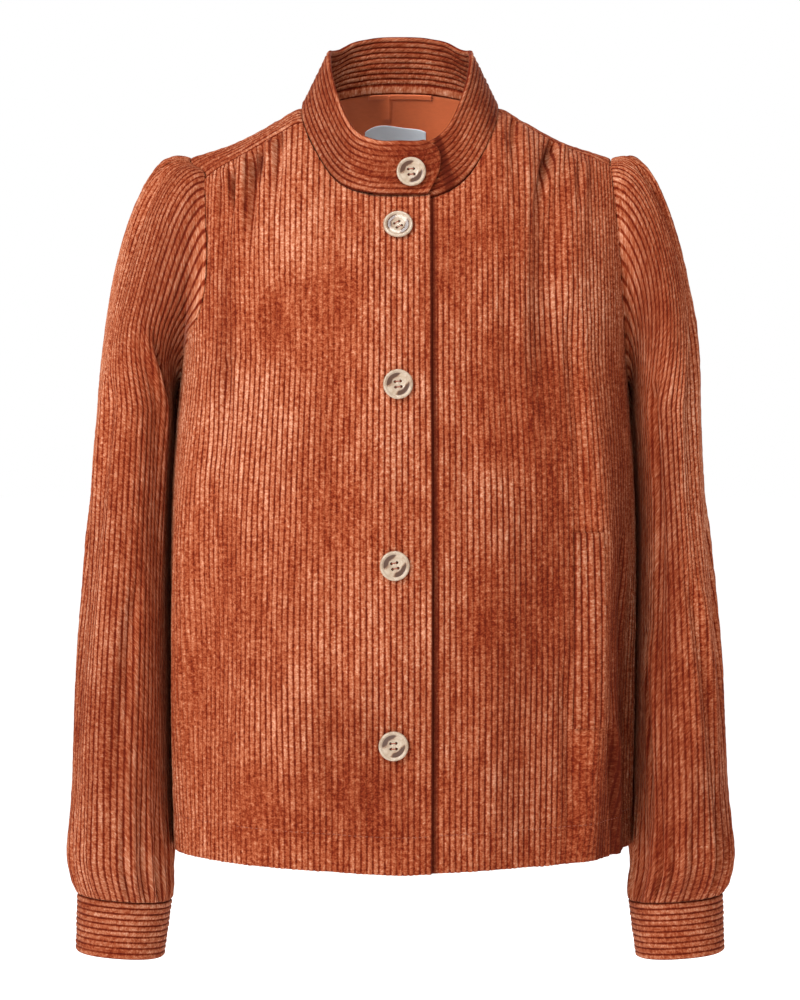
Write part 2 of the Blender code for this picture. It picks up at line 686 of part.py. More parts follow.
def ring_angles():
    """Angles round the sleeve, from its underarm seam by the front, evenly spaced along a middle ring."""
    angle = np.linspace(0, 2 * math.pi, FINE + 1)
    length = lengths_along(np.stack(ring_xy(angle, *MIDDLE_RING), axis=-1))
    return np.interp(np.linspace(0, length[-1], FINE + 1), length, angle)


def ring_xy(angle, half_width, half_depth):
    power = 2 / SLEEVE_ROUNDNESS
    x = -half_width * np.sign(np.cos(angle)) * np.abs(np.cos(angle)) ** power
    y = -half_depth * np.sign(np.sin(angle)) * np.abs(np.sin(angle)) ** power
    return x, y


def sleeve_ring(side, angle, height, read):
    """Points of a ring of the sleeve or cuff below the armhole."""
    size = {name: read[name](height) for name in Ring._fields[1:]}
    inner = size["inner_right"] if side == RIGHT else size["inner_left"]
    x, y = ring_xy(angle, (size["outer"] - inner) / 2, size["half_depth"])
    middle = (size["outer"] + inner) / 2
    return np.stack([side * (middle + x), size["middle_y"] + y, height + x * np.tan(size["tilt"])], axis=-1)


def sleeve_surface(side):
    """Reads points of a sleeve at (share round it, drop)."""
    loop = armhole_loop(side)
    angles = ring_angles()
    even = np.linspace(0, 1, FINE + 1)
    out, forward, up = np.array([side, 0.0, 0.0]), np.array([0.0, -1.0, 0.0]), np.array([0.0, 0.0, 1.0])

    def surface(share, drop):
        share, drop = np.broadcast_arrays(np.asarray(share, float), np.asarray(drop, float))
        turn = share - CAP_SKEW * np.sin(4 * math.pi * share) / (4 * math.pi)
        edge = np.stack([np.interp(turn, even, loop[:, k]) for k in range(3)], axis=-1)
        angle = np.interp(share, even, angles)
        top = np.sin(math.pi * share)[..., None] ** 2
        front = np.sin(2 * math.pi * share)[..., None]

        start = edge + out * (HEAD_CLEAR.base + HEAD_CLEAR.at_top * top)
        leave = start + out * (HEAD_OUT.base + HEAD_OUT.at_top * top)
        leave = leave + up * HEAD_UP * top**3 + forward * HEAD_FORWARD * front
        end = sleeve_ring(side, angle, np.full(angle.shape, SLEEVE_HEAD), SLEEVE_READ)
        arrive = end + up * (HEAD_DOWN.base + HEAD_DOWN.at_top * top) - out * HEAD_IN * top
        t = np.clip(drop, 0, 1)[..., None]
        head = start * (1 - t) ** 3 + 3 * leave * t * (1 - t) ** 2 + 3 * arrive * t**2 * (1 - t) + end * t**3

        height = SLEEVE_HEAD + (WRIST - SLEEVE_HEAD) * np.clip(drop - 1, 0, 1)
        arm = sleeve_ring(side, angle, height, SLEEVE_READ)
        return np.where((drop <= 1)[..., None], head, arm)

    return surface


def sleeve_waves(share, drop):
    """Gathers at the wrist and along the top of the head, outwards."""
    wrist = GATHER_DEPTH * np.cos(2 * math.pi * GATHERS * share)
    wrist = wrist * smoothstep(drop, GATHER_START, GATHER_FULL)
    on_top = bump(4 * (share - 0.5)) * bump((drop - PUFF_DROP) / PUFF_DROP)
    return wrist + PUFF_DEPTH * np.cos(2 * math.pi * PUFFS * share) * on_top


def sleeves():
    share = np.linspace(0, 1, 2 * SLEEVE_WALES + 1)[:-1]
    drop, shares = np.meshgrid(SLEEVE_DROPS, share, indexing="ij")
    height = np.broadcast_to(ribs(SLEEVE_WALES)[:-1], drop.shape)
    few = slice(None, None, SLEEVE_INNER_STEP)
    for side, name in ((RIGHT, "sleeve_right"), (LEFT, "sleeve_left")):
        surface = sleeve_surface(side)

        def place(share, drop, lift):
            inside = np.clip(drop, SLEEVE_DROPS[0] + NORMAL_INSET, SLEEVE_DROPS[-1] - NORMAL_INSET)
            offset = lifted(surface, share, inside, lift, -side) - surface(share, inside)
            offset[drop == SLEEVE_DROPS[-1], 2] = 0  # level, to meet the cuff
            return surface(share, drop) + offset

        outer = place(shares, drop, CLOTH / 2 + height + sleeve_waves(shares, drop))
        inner = place(shares[:, few], drop[:, few], np.full(drop[:, few].shape, -CLOTH / 2))
        wall(name, outer, inner, CORDUROY, tube="columns")


def cuffs():
    read = {name: smooth_curve(CUFF_RINGS, "height", name) for name in Ring._fields[1:]}
    angle = np.linspace(0, 2 * math.pi, CUFF_SIDES, endpoint=False)
    for side, name in ((RIGHT, "cuff_right"), (LEFT, "cuff_left")):

        def grid(heights, lift):
            h, a = np.meshgrid(heights, angle, indexing="xy")
            ring = sleeve_ring(side, a, h, read)
            middle = sleeve_ring(side, a + math.pi, h, read)
            outwards = ring - (ring + middle) / 2
            outwards /= np.linalg.norm(outwards, axis=-1, keepdims=True)
            return ring + outwards * lift[None, :, None]

        heights = np.linspace(CUFF_RINGS[0].height, CUFF_RINGS[1].height, 2 * CUFF_WALES + 1)
        outer = grid(heights, CLOTH / 2 + ribs(CUFF_WALES))
        inner = grid(heights[[0, -1]], np.full(2, -CLOTH / 2))
        wall(name, outer, inner, CORDUROY, tube="rows")


# ---------------------------------------------------------------- collar
def ring_point(turn, half_width, middle_y, front, back):
    """X and Y on a ring of the neck, at a turn from the centre front; the wearer's right is negative."""
    power = 2 / NECK_ROUNDNESS
    x = half_width * np.sign(np.sin(turn)) * np.abs(np.sin(turn)) ** power
    radius = np.where(np.cos(turn) > 0, front, back)
    return x, middle_y - radius * np.sign(np.cos(turn)) * np.abs(np.cos(turn)) ** power


def neck_lengths():
    """Turns round the neck seam, closely spaced, and the length of the seam from centre front to each."""
    turn = np.linspace(-2.5 * math.pi, 0.5 * math.pi, 12 * FINE + 1)
    length = lengths_along(np.stack(ring_point(turn, *NECK_SEAM), axis=-1))
    return turn, length - np.interp(0, turn, length)


NECK_TURNS, NECK_LENGTHS = neck_lengths()
NECK_ROUND = -float(np.interp(-2 * math.pi, NECK_TURNS, NECK_LENGTHS))


def collar_surface(length, rise):
    """The collar at a length round the neck seam, from 0 at the seam to 1 at the top edge."""
    length, rise = np.broadcast_arrays(np.asarray(length, float), np.asarray(rise, float))
    turn = np.interp(length, NECK_LENGTHS, NECK_TURNS)
    x, y = ring_point(turn, *NECK_SEAM)
    foot = surface_at(x, y)
    body_top = lifted(surface_at, x, y, np.full(x.shape, CLOTH / 2 + RIB))
    foot[..., 2] = np.maximum(foot[..., 2], body_top[..., 2]) + SEAM_GAP + COLLAR_SAG
    foot = foot + overlap_lift(length)[..., None] * OVER_THE_CHEST
    quarters = np.abs(np.arctan2(np.sin(turn), np.cos(turn))) / (math.pi / 2)
    height = smooth_curve(COLLAR_RISE, "turn", "rise")(quarters)
    x, y = ring_point(turn, *COLLAR_TOP)
    top = np.stack([x, y - overlap_lift(length), foot[..., 2] + height], axis=-1)
    return foot + (top - foot) * rise[..., None]


collar_tab = smooth_curve(COLLAR_TAB, "rise", "length")


def collar_cut(rise):
    """How far the rounded corner cuts the collar's lower end back."""
    into_corner = max(0.0, (rise - 1) * COLLAR_RISE[0].rise + COLLAR_CORNER)
    return COLLAR_CORNER - math.sqrt(max(COLLAR_CORNER**2 - into_corner**2, 0.0))


def collar_grid(rises, lifts):
    rows = []
    for rise, lift in zip(rises, lifts):
        start = float(collar_tab(rise))
        end = -NECK_ROUND - COLLAR_END_LEFT + collar_cut(rise)
        length = np.linspace(start, end, COLLAR_STEPS + 1)
        even = np.ones_like(length)
        rows.append(lifted(collar_surface, length, rise * even, lift * even))
    return np.array(rows).transpose(1, 0, 2)


def collar():
    rises = np.linspace(0, 1, 2 * COLLAR_WALES + 1)
    outer = collar_grid(rises, CLOTH / 2 + ribs(COLLAR_WALES))
    few = rises[::COLLAR_INNER_STEP]
    inner = collar_grid(few, np.full(len(few), -CLOTH / 2))
    wall("collar", outer, inner, CORDUROY)


# ---------------------------------------------------------------- pocket
def pocket_welt():
    arc = WELT_ARC + WELT_WIDTH * np.linspace(-0.5, 0.5, 2 * WELT_WALES + 1)
    bend = row_climb("front", arc, BODY_ROWS[1])  # the front's own row behind the welt
    climb = np.stack([np.full(arc.shape, WELT_FOOT), bend, np.full(arc.shape, WELT_TOP)])
    under = CLOTH / 2 + RIB + SEAM_GAP
    outer = on_front(arc, climb, under + WELT_THICK + ribs(WELT_WALES))
    inner = on_front(arc, climb, under)
    wall("pocket_welt", outer, inner, CORDUROY)


# ---------------------------------------------------------------- inside the back neck
COARSE_ARCS = BACK_ARCS[inner_columns(smooth_panel("back", BACK_ARCS))]


def between(half_width):
    """The back's inner columns within a half width, and one more at each end."""
    inner = COARSE_ARCS[np.abs(COARSE_ARCS) < half_width - WALE]
    return np.concatenate([[-half_width], inner, [half_width]])


def inside_back(name, columns, top, foot, depth, thick, look):
    """A piece on the inside of the back, between its last two rows, moved in from its points.

    top and foot are shares of the way from the lower row up to the neck seam.
    """
    arcs = np.broadcast_to(COARSE_ARCS, (2, len(COARSE_ARCS)))
    climb = row_climb("back", COARSE_ARCS, BODY_ROWS[-2:, None])
    share = np.array([foot, top])[:, None, None]

    def moved_in(by):
        low, high = body_cloth("back", arcs, climb, np.full(arcs.shape, -by))
        rows = low + (high - low) * share
        read = [[np.interp(columns, COARSE_ARCS, row[:, k]) for k in range(3)] for row in rows]
        return np.array(read).swapaxes(1, 2)

    return wall(name, moved_in(depth), moved_in(depth + thick), look)


def neck_pieces():
    lining_depth = CLOTH / 2 + SEAM_GAP
    label_depth = lining_depth + LINING + SEAM_GAP
    inside_back("neck_lining", between(LINING_HALF), LINING_TOP, 0.0, lining_depth, LINING, LINING_CLOTH)
    inside_back("label", between(LABEL_HALF), LABEL_TOP, LABEL_FOOT, label_depth, LINING, LABEL_CLOTH)
    inside_back("hanger_loop", between(LOOP_HALF), LOOP_TOP, LOOP_FOOT, label_depth, LOOP_THICK, LINING_CLOTH)


# ---------------------------------------------------------------- buttons
def button(name, place, normal, turn):
    """A four-hole button with a raised rim, its back on the cloth."""
    angles = np.linspace(0, 2 * math.pi, BUTTON_SIDES, endpoint=False)
    points = [(r * math.cos(a), r * math.sin(a), height) for r, height in BUTTON_LEDGES for a in angles]
    loops = np.arange(len(points)).reshape(len(BUTTON_LEDGES), BUTTON_SIDES).tolist()
    faces = [loops[0][::-1], loops[-1]]
    for low, high in zip(loops, loops[1:]):
        faces += [(low[k - 1], low[k], high[k], high[k - 1]) for k in range(BUTTON_SIDES)]
    made = add_object(name, points, faces, HORN)
    axis = Vector(normal).to_track_quat("Z", "Y").to_matrix().to_4x4()
    made.matrix_world = Matrix.Translation(Vector(place)) @ axis @ Matrix.Rotation(turn, 4, "Z")
    for k in range(4):
        angle = math.pi / 4 + k * math.pi / 2
        bpy.ops.mesh.primitive_cylinder_add(
            vertices=BUTTON_HOLE_SIDES, radius=BUTTON_HOLE, depth=BUTTON_HOLE_DEPTH
        )
        cutter = bpy.context.object
        cutter.name = f"{name}_hole_{k + 1}"
        spot = Vector((math.cos(angle), math.sin(angle), 0)) * BUTTON_HOLE_SPREAD
        cutter.matrix_world = made.matrix_world @ Matrix.Translation(spot)
        cutter.hide_render = True
        cutter.display_type = "WIRE"
        cut = made.modifiers.new(f"hole_{k + 1}", "BOOLEAN")
        cut.operation = "DIFFERENCE"
        cut.object = cutter
    return made


def buttons():
    over_crest = CLOTH / 2 + RIB + SEAM_GAP

    def spot_on_front(arc, climb):
        arc = np.array([arc])
        return on_front(arc, np.array([[climb]]), over_crest + overlap_lift(arc))[0, 0]

    for spot in BUTTONS:
        climb = float(climb_at_height("front", np.array([spot.arc]), np.array([spot.height]))[0])
        along = spot_on_front(spot.arc + EDGE, climb) - spot_on_front(spot.arc - EDGE, climb)
        up = spot_on_front(spot.arc, climb + EDGE) - spot_on_front(spot.arc, climb - EDGE)
        button(spot.name, spot_on_front(spot.arc, climb), np.cross(along, up), spot.turn)
    arc, rise = np.array([COLLAR_BUTTON_ARC]), np.array([COLLAR_BUTTON_RISE])
    lifts = (np.zeros(1), np.full(1, over_crest))
    on_cloth, place = (lifted(collar_surface, arc, rise, lift)[0] for lift in lifts)
    button("button_1", place, place - on_cloth, COLLAR_BUTTON_TURN)


def clear_scene():
    for old in list(bpy.data.objects):
        bpy.data.objects.remove(old)


def main():
    clear_scene()
    fronts_and_back()
    yokes()
    sleeves()
    cuffs()
    collar()
    pocket_welt()
    neck_pieces()
    buttons()


main()
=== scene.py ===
import math
from collections import namedtuple

import bmesh
import bpy
import numpy as np
from mathutils import Matrix, Vector


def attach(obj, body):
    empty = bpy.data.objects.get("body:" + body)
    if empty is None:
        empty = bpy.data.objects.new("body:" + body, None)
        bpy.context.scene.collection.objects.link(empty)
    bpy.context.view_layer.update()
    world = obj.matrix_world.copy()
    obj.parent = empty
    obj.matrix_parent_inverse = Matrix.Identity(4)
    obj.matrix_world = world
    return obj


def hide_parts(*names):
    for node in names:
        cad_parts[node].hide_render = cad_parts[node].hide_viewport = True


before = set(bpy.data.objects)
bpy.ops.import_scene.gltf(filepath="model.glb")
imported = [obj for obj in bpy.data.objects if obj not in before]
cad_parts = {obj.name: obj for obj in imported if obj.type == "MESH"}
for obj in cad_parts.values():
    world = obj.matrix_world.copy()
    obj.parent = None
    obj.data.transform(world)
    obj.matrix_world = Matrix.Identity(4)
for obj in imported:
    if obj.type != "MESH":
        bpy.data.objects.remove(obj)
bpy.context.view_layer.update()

# The looks of a corduroy jacket with a stand collar, over its imported solids.
#
# Metres, +Z up. The front faces -Y and the wearer's left is +X. Each cloth piece is a thin closed shell on the
# same surfaces as its solid, with every wale raised, its nap crushed in places and its creases laid one by one. A
# piece's UV map counts wales across and wale widths along, so that the pile follows the cloth.

# ---------------------------------------------------------------- driving sizes
WALE = 0.0046  # from one rib of the corduroy to the next
RIB = 0.0008  # height of a rib over its groove
CLOTH = 0.0020  # corduroy without its ribs
LINING = 0.0010
SEAM_GAP = 0.0003  # between pieces at a seam
SIDE_GAP = 0.0006  # each panel stops this far short of the side seam
HEM = -0.605  # height of the hem at the centre front
HEM_RISE = {"front": 0.0115, "back": 0.0035}  # how far it rises from the centre to the side seams
HEM_LIFT = {"front": 0.0, "back": 0.0080}  # at the centre
ARMHOLE_BASE = -0.200  # height where the sections end and the shoulder arch begins
UNDERARM = -0.214  # lowest point of the armhole
OVERLAP = 0.025  # of each front past the centre line
OVERLAP_LIFT = 0.0038  # of the upper front over the lower one
OVERLAP_EASE = 0.030  # width over which the upper front rises to that lift
OVERLAP_CLEAR = 0.002  # it is fully lifted this far before the lower front's edge
BODY_ROUNDNESS = 2.5  # exponent of the body's sections: 2 is an ellipse, more is boxier
ARCH_ROUNDNESS = {"front": 1.75, "back": 2.2}  # the same for the arch over the shoulder
ARCH_SCALE = 0.12  # climb for each radian of the arch
RIDGE_Y = 0.005  # the shoulder ridge lies this far behind the origin
NECK_HALF = 0.079  # the neck seam, seen from above
NECK_MIDDLE_Y = -0.005
NECK_REACH = {"front": 0.0765, "back": 0.062}
NECK_ROUNDNESS = 2.6

RIGHT, LEFT = -1, 1  # the wearer's sides, as signs of X
SIDES = {RIGHT: "right", LEFT: "left"}
FACES = {"front": -1, "back": 1}  # and the way each one faces, as the sign of Y
NORMAL_STEP = 1e-4  # between the places on a surface from which its outward direction is read
NORMAL_DIP = 0.004  # a panel's outward direction is read this far below the place itself
NORMAL_INSET = 0.015  # and a sleeve's at least this drop from its ends


def table(kind, *rows):
    """Rows of numbers as a table whose columns have names."""
    return tuple(kind(*row) for row in rows)


# The body's sections below the armholes: half widths on the wearer's right and left, and depths
Section = namedtuple("Section", "height right left front back")
BODY_SECTIONS = table(
    Section,
    (-0.605, 0.1835, 0.1875, 0.122, 0.1), (-0.45, 0.185, 0.1905, 0.127, 0.096),
    (-0.3, 0.184, 0.1895, 0.127, 0.098), (-0.2, 0.176, 0.183, 0.121, 0.106),
)
REFERENCE = BODY_SECTIONS[2]  # the section round which the wales are spaced

# Heights of the shoulder arch's top; the neck opening cuts away its middle
Ridge = namedtuple("Ridge", "x front back")
SHOULDER_RIDGE = table(  # the first row mirrors the third, so that the arch is level in the middle
    Ridge,
    (-0.034, -0.008, 0.05), (0.0, -0.008, 0.056), (0.034, -0.008, 0.05), (0.055, -0.003, 0.036),
    (0.07, 0.005, 0.018), (0.08, 0.006, 0.007), (0.099, -0.004, -0.004), (0.131, -0.021, -0.021),
    (0.175, -0.036, -0.036), (0.195, -0.044, -0.044),
)

# Where each shoulder's yoke is seamed to front and back, as Y at its neck end and at its armhole end, and how
# far out the armhole lies: at the front seam, at the ridge and at the back seam
Yoke = namedtuple("Yoke", "front_neck front_arm back_neck back_arm arm_front arm_ridge arm_back")
YOKES = {
    RIGHT: Yoke(-0.030, -0.026, 0.034, 0.028, 0.157, 0.171, 0.165),
    LEFT: Yoke(-0.012, -0.009, 0.040, 0.034, 0.171, 0.173, 0.169),
}
YOKE_WALES = {RIGHT: 13, LEFT: 10}
YOKE_NECK_GAP = 0.0008

FOLD_FADE = 0.030  # folds die out this far below the seam that holds them
# Soft folds and tucks: middle and half size along arc and climb, lean, and depth (outwards is positive)
Fold = namedtuple("Fold", "arc climb half_arc half_climb lean depth")
FOLDS = {}
FOLDS["front"] = table(
    Fold,
    (-0.152, -0.09, 0.011, 0.075, 0.0, -0.004), (-0.128, -0.08, 0.011, 0.08, 0.0, -0.004),
    (-0.104, -0.07, 0.011, 0.07, 0.0, -0.0035), (0.124, -0.12, 0.02, 0.15, 0.1, -0.007),
    (0.152, -0.1, 0.018, 0.11, 0.05, 0.0025), (0.096, -0.06, 0.012, 0.07, 0.0, -0.003),
    (0.16, -0.44, 0.022, 0.26, 0.03, 0.009), (0.215, -0.48, 0.03, 0.2, -0.05, -0.01),
    (0.1, -0.5, 0.03, 0.22, 0.04, -0.004), (-0.195, -0.43, 0.028, 0.23, 0.06, 0.007),
    (-0.15, -0.44, 0.03, 0.24, 0.02, -0.004), (-0.075, -0.4, 0.035, 0.26, 0.01, 0.003),
)
FOLDS["back"] = table(
    Fold,
    (-0.165, -0.42, 0.026, 0.24, 0.04, 0.008), (-0.105, -0.38, 0.028, 0.26, -0.03, -0.007),
    (-0.04, -0.43, 0.03, 0.24, 0.02, 0.004), (0.035, -0.4, 0.026, 0.23, -0.02, -0.005),
    (0.1, -0.43, 0.03, 0.25, 0.03, 0.006), (0.17, -0.4, 0.028, 0.23, -0.04, -0.008),
    (-0.13, -0.06, 0.012, 0.06, 0.0, -0.003), (0.135, -0.06, 0.012, 0.06, 0.0, -0.003),
)

# The sleeve below the armhole: X of its side next to the body on the wearer's right and left, X of its outer
# side, its middle and half depth, and the tilt of the ring
Ring = namedtuple("Ring", "height inner_right inner_left outer middle_y half_depth tilt")
SLEEVE_RINGS = table(
    Ring,
    (-0.6354, 0.188, 0.188, 0.2615, -0.018, 0.0385, 0.08), (-0.608, 0.1888, 0.1926, 0.2675, -0.017, 0.058, 0.072),
    (-0.58, 0.1892, 0.1936, 0.2675, -0.015, 0.062, 0.06), (-0.46, 0.1904, 0.196, 0.261, -0.006, 0.066, 0.04),
    (-0.319, 0.1898, 0.1958, 0.2495, 0.001, 0.068, 0.015), (-0.24, 0.1866, 0.1926, 0.245, 0.003, 0.067, 0.0),
)
SLEEVE_WALES = 74
SLEEVE_ROUNDNESS = 2.2
CAP_SKEW = 0.35  # how much faster the cap's edge climbs at the front and back of the armhole
GATHERS = 20  # small waves where the sleeve is gathered into its cuff

# How the head leaves the armhole and meets the arm: a length at the underarm, and what the top adds to it
Change = namedtuple("Change", "base at_top")
HEAD_CLEAR = Change(0.0031, -0.0009)  # out from the armhole's edge
HEAD_OUT = Change(0.006, 0.030)  # further out, to the curve's first handle
HEAD_FORWARD = 0.010  # of that handle at the front; as far back at the back
HEAD_UP = 0.017  # of that handle at the top
HEAD_DOWN = Change(0.008, 0.112)  # from the second handle down to the arm
HEAD_IN = 0.0030  # of that handle at the top

CUFF_RINGS = table(
    Ring,
    (-0.6815, 0.194, 0.194, 0.2625, -0.021, 0.0362, 0.08), (-0.6359, 0.188, 0.188, 0.2615, -0.018, 0.0385, 0.08),
)
CUFF_WALES = 10

COLLAR_WALES = 10
COLLAR_END_LEFT = 0.0220
COLLAR_CORNER = 0.009  # of the lower end
COLLAR_SAG = 0.0005  # room for its straight stretches between points
OVER_THE_CHEST = np.array([0.0, -1.0, 0.60])  # the way in which the upper front's neck edge is lifted
NeckRing = namedtuple("NeckRing", "half_width middle_y front back")
NECK_SEAM = NeckRing(NECK_HALF, NECK_MIDDLE_Y, *NECK_REACH.values())
COLLAR_TOP = NeckRing(0.057, -0.009, 0.067, 0.060)
CollarRise = namedtuple("CollarRise", "turn rise")
COLLAR_RISE = table(  # height of the stand at turns round the neck from the centre front, in quarter turns
    CollarRise,
    (0.0, 0.043), (0.6, 0.04), (1.0, 0.044), (2.0, 0.043),
)

CollarEnd = namedtuple("CollarEnd", "rise length")
COLLAR_TAB = table(  # how far past the centre line the upper, rounded end lies, from the seam up to the top edge
    CollarEnd,
    (0.0, 0.0222), (0.18, 0.029), (0.35, 0.0348), (0.52, 0.0382), (0.7, 0.0388), (0.86, 0.0352), (1.0, 0.0265),
)

BUTTON_BACK = 0.0094  # radius of a button's flat back
BUTTON_HOLE = 0.0011  # radius
BUTTON_HOLE_SPREAD = 0.0031  # of the holes from the middle
ButtonPlace = namedtuple("ButtonPlace", "name arc height turn")
BUTTONS = table(  # on the upper front; turn is how far its holes are turned
    ButtonPlace,
    ("button_2", -0.0015, -0.0975, 0.5), ("button_3", -0.0015, -0.221, 0.12), ("button_4", -0.004, -0.362, 0.2),
    ("button_5", -0.005, -0.5025, 0.05),
)
COLLAR_BUTTON_ARC = 0.0099  # past the centre line, on the collar
COLLAR_BUTTON_RISE = 0.405
COLLAR_BUTTON_TURN = 0.1

WELT_WIDTH = 0.0230
WELT_FOOT, WELT_TOP = -0.492, -0.337
WELT_WALES = 5
WELT_THICK = 0.0014
WELT_ARC = 0.151  # middle of the welt, on the wearer's left

# Inside the back neck: half widths, and heights as shares of the way from the lining's foot to the neck seam
LINING_HALF = 0.056
LINING_TOP = 0.97
LABEL_HALF = 0.027
LABEL_TOP = 0.27
LOOP_HALF = 0.028
LOOP_TOP, LOOP_FOOT = 0.985, 0.860
LOOP_THICK = 0.0014


# ---------------------------------------------------------------- curves
def smooth_curve(rows, key, value):
    """A smooth curve through one column of a table against another, its rows in rising order of the key."""
    at = np.array([getattr(row, key) for row in rows])
    values = np.array([getattr(row, value) for row in rows])
    slopes = np.gradient(values, at)

    def read(x):
        x = np.clip(x, at[0], at[-1])
        i = np.clip(np.searchsorted(at, x) - 1, 0, len(at) - 2)
        span = at[i + 1] - at[i]
        t = (x - at[i]) / span
        start = values[i] * (1 + 2 * t) * (1 - t) ** 2 + slopes[i] * span * t * (1 - t) ** 2
        end = values[i + 1] * t * t * (3 - 2 * t) - slopes[i + 1] * span * t * t * (1 - t)
        return start + end

    return read


def smoothstep(x, start, end):
    t = np.clip((x - start) / (end - start), 0, 1)
    return t * t * (3 - 2 * t)


def bump(distance):
    """1 at distance 0, falling softly to 0 at distance 1."""
    return np.where(np.abs(distance) < 1, (1 - np.clip(distance, -1, 1) ** 2) ** 2, 0)


HALF_WIDTH = {side: smooth_curve(BODY_SECTIONS, "height", name) for side, name in SIDES.items()}
DEPTH = {face: smooth_curve(BODY_SECTIONS, "height", face) for face in FACES}
RIDGE_HEIGHT = {face: smooth_curve(SHOULDER_RIDGE, "x", face) for face in FACES}


def unit_section(half_width, depth):
    """Lengths round a quarter of the body's section from its centre line, and the unit X and depth there."""
    angle = np.linspace(0, math.pi / 2, 1441)
    across = np.sin(angle) ** (2 / BODY_ROUNDNESS)
    deep = np.cos(angle) ** (2 / BODY_ROUNDNESS)
    step = np.hypot(np.diff(across * half_width), np.diff(deep * depth))
    return np.concatenate([[0], np.cumsum(step)]), across, deep


QUARTER = {
    (side, face): unit_section(getattr(REFERENCE, name), getattr(REFERENCE, face))
    for side, name in SIDES.items()
    for face in FACES
}
SIDE_ARC = {key: lengths[-1] for key, (lengths, _, _) in QUARTER.items()}  # of each side seam


# ---------------------------------------------------------------- the body's surface
def by_side(arc, read):
    return np.where(arc < 0, read(RIGHT), read(LEFT))


def unit_at(face, arc):
    def read(which):
        at = np.abs(arc)
        return by_side(arc, lambda side: np.interp(at, QUARTER[side, face][0], QUARTER[side, face][which]))

    return np.sign(arc) * read(1), read(2)


def arch_foot(face, arc):
    """X and Y where a wale leaves the sections and enters the shoulder arch."""
    across, deep = unit_at(face, arc)
    x = across * by_side(arc, lambda side: HALF_WIDTH[side](ARMHOLE_BASE))
    return x, FACES[face] * deep * DEPTH[face](ARMHOLE_BASE)


def body(face, arc, climb):
    """Points of the body's smooth surface."""
    arc, climb = np.broadcast_arrays(np.asarray(arc, float), np.asarray(climb, float))
    height = np.minimum(climb, ARMHOLE_BASE)
    across, deep = unit_at(face, arc)
    x = across * by_side(arc, lambda side: HALF_WIDTH[side](height))
    y = FACES[face] * deep * DEPTH[face](height)
    turn = np.clip((climb - ARMHOLE_BASE) / ARCH_SCALE, 0, math.pi / 2)
    power = 2 / ARCH_ROUNDNESS[face]
    y = RIDGE_Y + (y - RIDGE_Y) * np.cos(turn) ** power
    rise = RIDGE_HEIGHT[face](np.abs(x)) - ARMHOLE_BASE
    z = height + rise * np.sin(turn) ** power
    return np.stack([x, y, z], axis=-1)


def climb_at_y(face, arc, y):
    """The climb at which a wale on the arch reaches a given Y."""
    foot_y = arch_foot(face, arc)[1]
    share = np.clip((y - RIDGE_Y) / (foot_y - RIDGE_Y), 0, 1)
    return ARMHOLE_BASE + ARCH_SCALE * np.arccos(share ** (ARCH_ROUNDNESS[face] / 2))


def climb_at_height(face, arc, height):
    """The climb at which a wale reaches a given height."""
    x = arch_foot(face, arc)[0]
    rise = RIDGE_HEIGHT[face](np.abs(x)) - ARMHOLE_BASE
    share = np.clip((height - ARMHOLE_BASE) / rise, 0, 1)
    on_arch = ARMHOLE_BASE + ARCH_SCALE * np.arcsin(share ** (ARCH_ROUNDNESS[face] / 2))
    return np.where(height < ARMHOLE_BASE, height, on_arch)


def arc_at_x(face, side, x):
    """The arc of the wale that enters the arch at X."""
    lengths, across, _ = QUARTER[side, face]
    return side * np.interp(abs(x) / HALF_WIDTH[side](ARMHOLE_BASE), across, lengths)


def neck_y(face, x):
    inside = np.clip(1 - (np.abs(x) / NECK_HALF) ** NECK_ROUNDNESS, 0, 1)
    return NECK_MIDDLE_Y + FACES[face] * NECK_REACH[face] * inside ** (1 / NECK_ROUNDNESS)


def neck_x(y):
    radius = np.where(y < NECK_MIDDLE_Y, *NECK_REACH.values())
    inside = np.clip(1 - (np.abs(y - NECK_MIDDLE_Y) / radius) ** NECK_ROUNDNESS, 0, 1)
    return NECK_HALF * inside ** (1 / NECK_ROUNDNESS)


def yoke_seam_y(face, side, x):
    neck_end, arm_end, arm_x = (getattr(YOKES[side], name) for name in (f"{face}_neck", f"{face}_arm", f"arm_{face}"))
    share = np.clip((np.abs(x) - NECK_HALF) / (arm_x - NECK_HALF), 0, 1)
    return neck_end + (arm_end - neck_end) * share


def armhole_start(face, side):
    """The arc of the wale at the armhole's edge where the panel meets the yoke, and the height there."""
    arc = arc_at_x(face, side, getattr(YOKES[side], f"arm_{face}"))
    climb = climb_at_y(face, arc, yoke_seam_y(face, side, abs(arch_foot(face, arc)[0])))
    return arc, float(body(face, arc, climb)[..., 2])


ARMHOLE_FALL = 2.4  # how fast the armhole's edge falls from the shoulder; it ends level at the underarm
ARMHOLE_START = {(face, side): armhole_start(face, side) for face in FACES for side in SIDES}


def armhole_height(face, side, arc):
    start, top = ARMHOLE_START[face, side]
    share = np.clip((np.abs(arc) - abs(start)) / (SIDE_ARC[side, face] - abs(start)), 0, 1)
    return top + (UNDERARM - top) * (1 - (1 - share) ** ARMHOLE_FALL)


def top_climb(face, arc):
    """The climb at which a wale of the front or back ends, at the neck, the yoke's seam or the armhole."""
    x = arch_foot(face, arc)[0]
    ends = []
    for side in SIDES:
        seam = yoke_seam_y(face, side, x)
        edge = np.where(np.abs(x) < NECK_HALF, np.abs(neck_y(face, x)), 0)
        neck_or_yoke = FACES[face] * np.maximum(edge, np.abs(seam))
        climb = climb_at_y(face, arc, neck_or_yoke)
        below = climb_at_height(face, arc, armhole_height(face, side, arc))
        past_start = np.abs(arc) > abs(ARMHOLE_START[face, side][0])
        ends.append(np.where(past_start, np.minimum(below, climb), climb))
    return np.where(arc < 0, *ends)


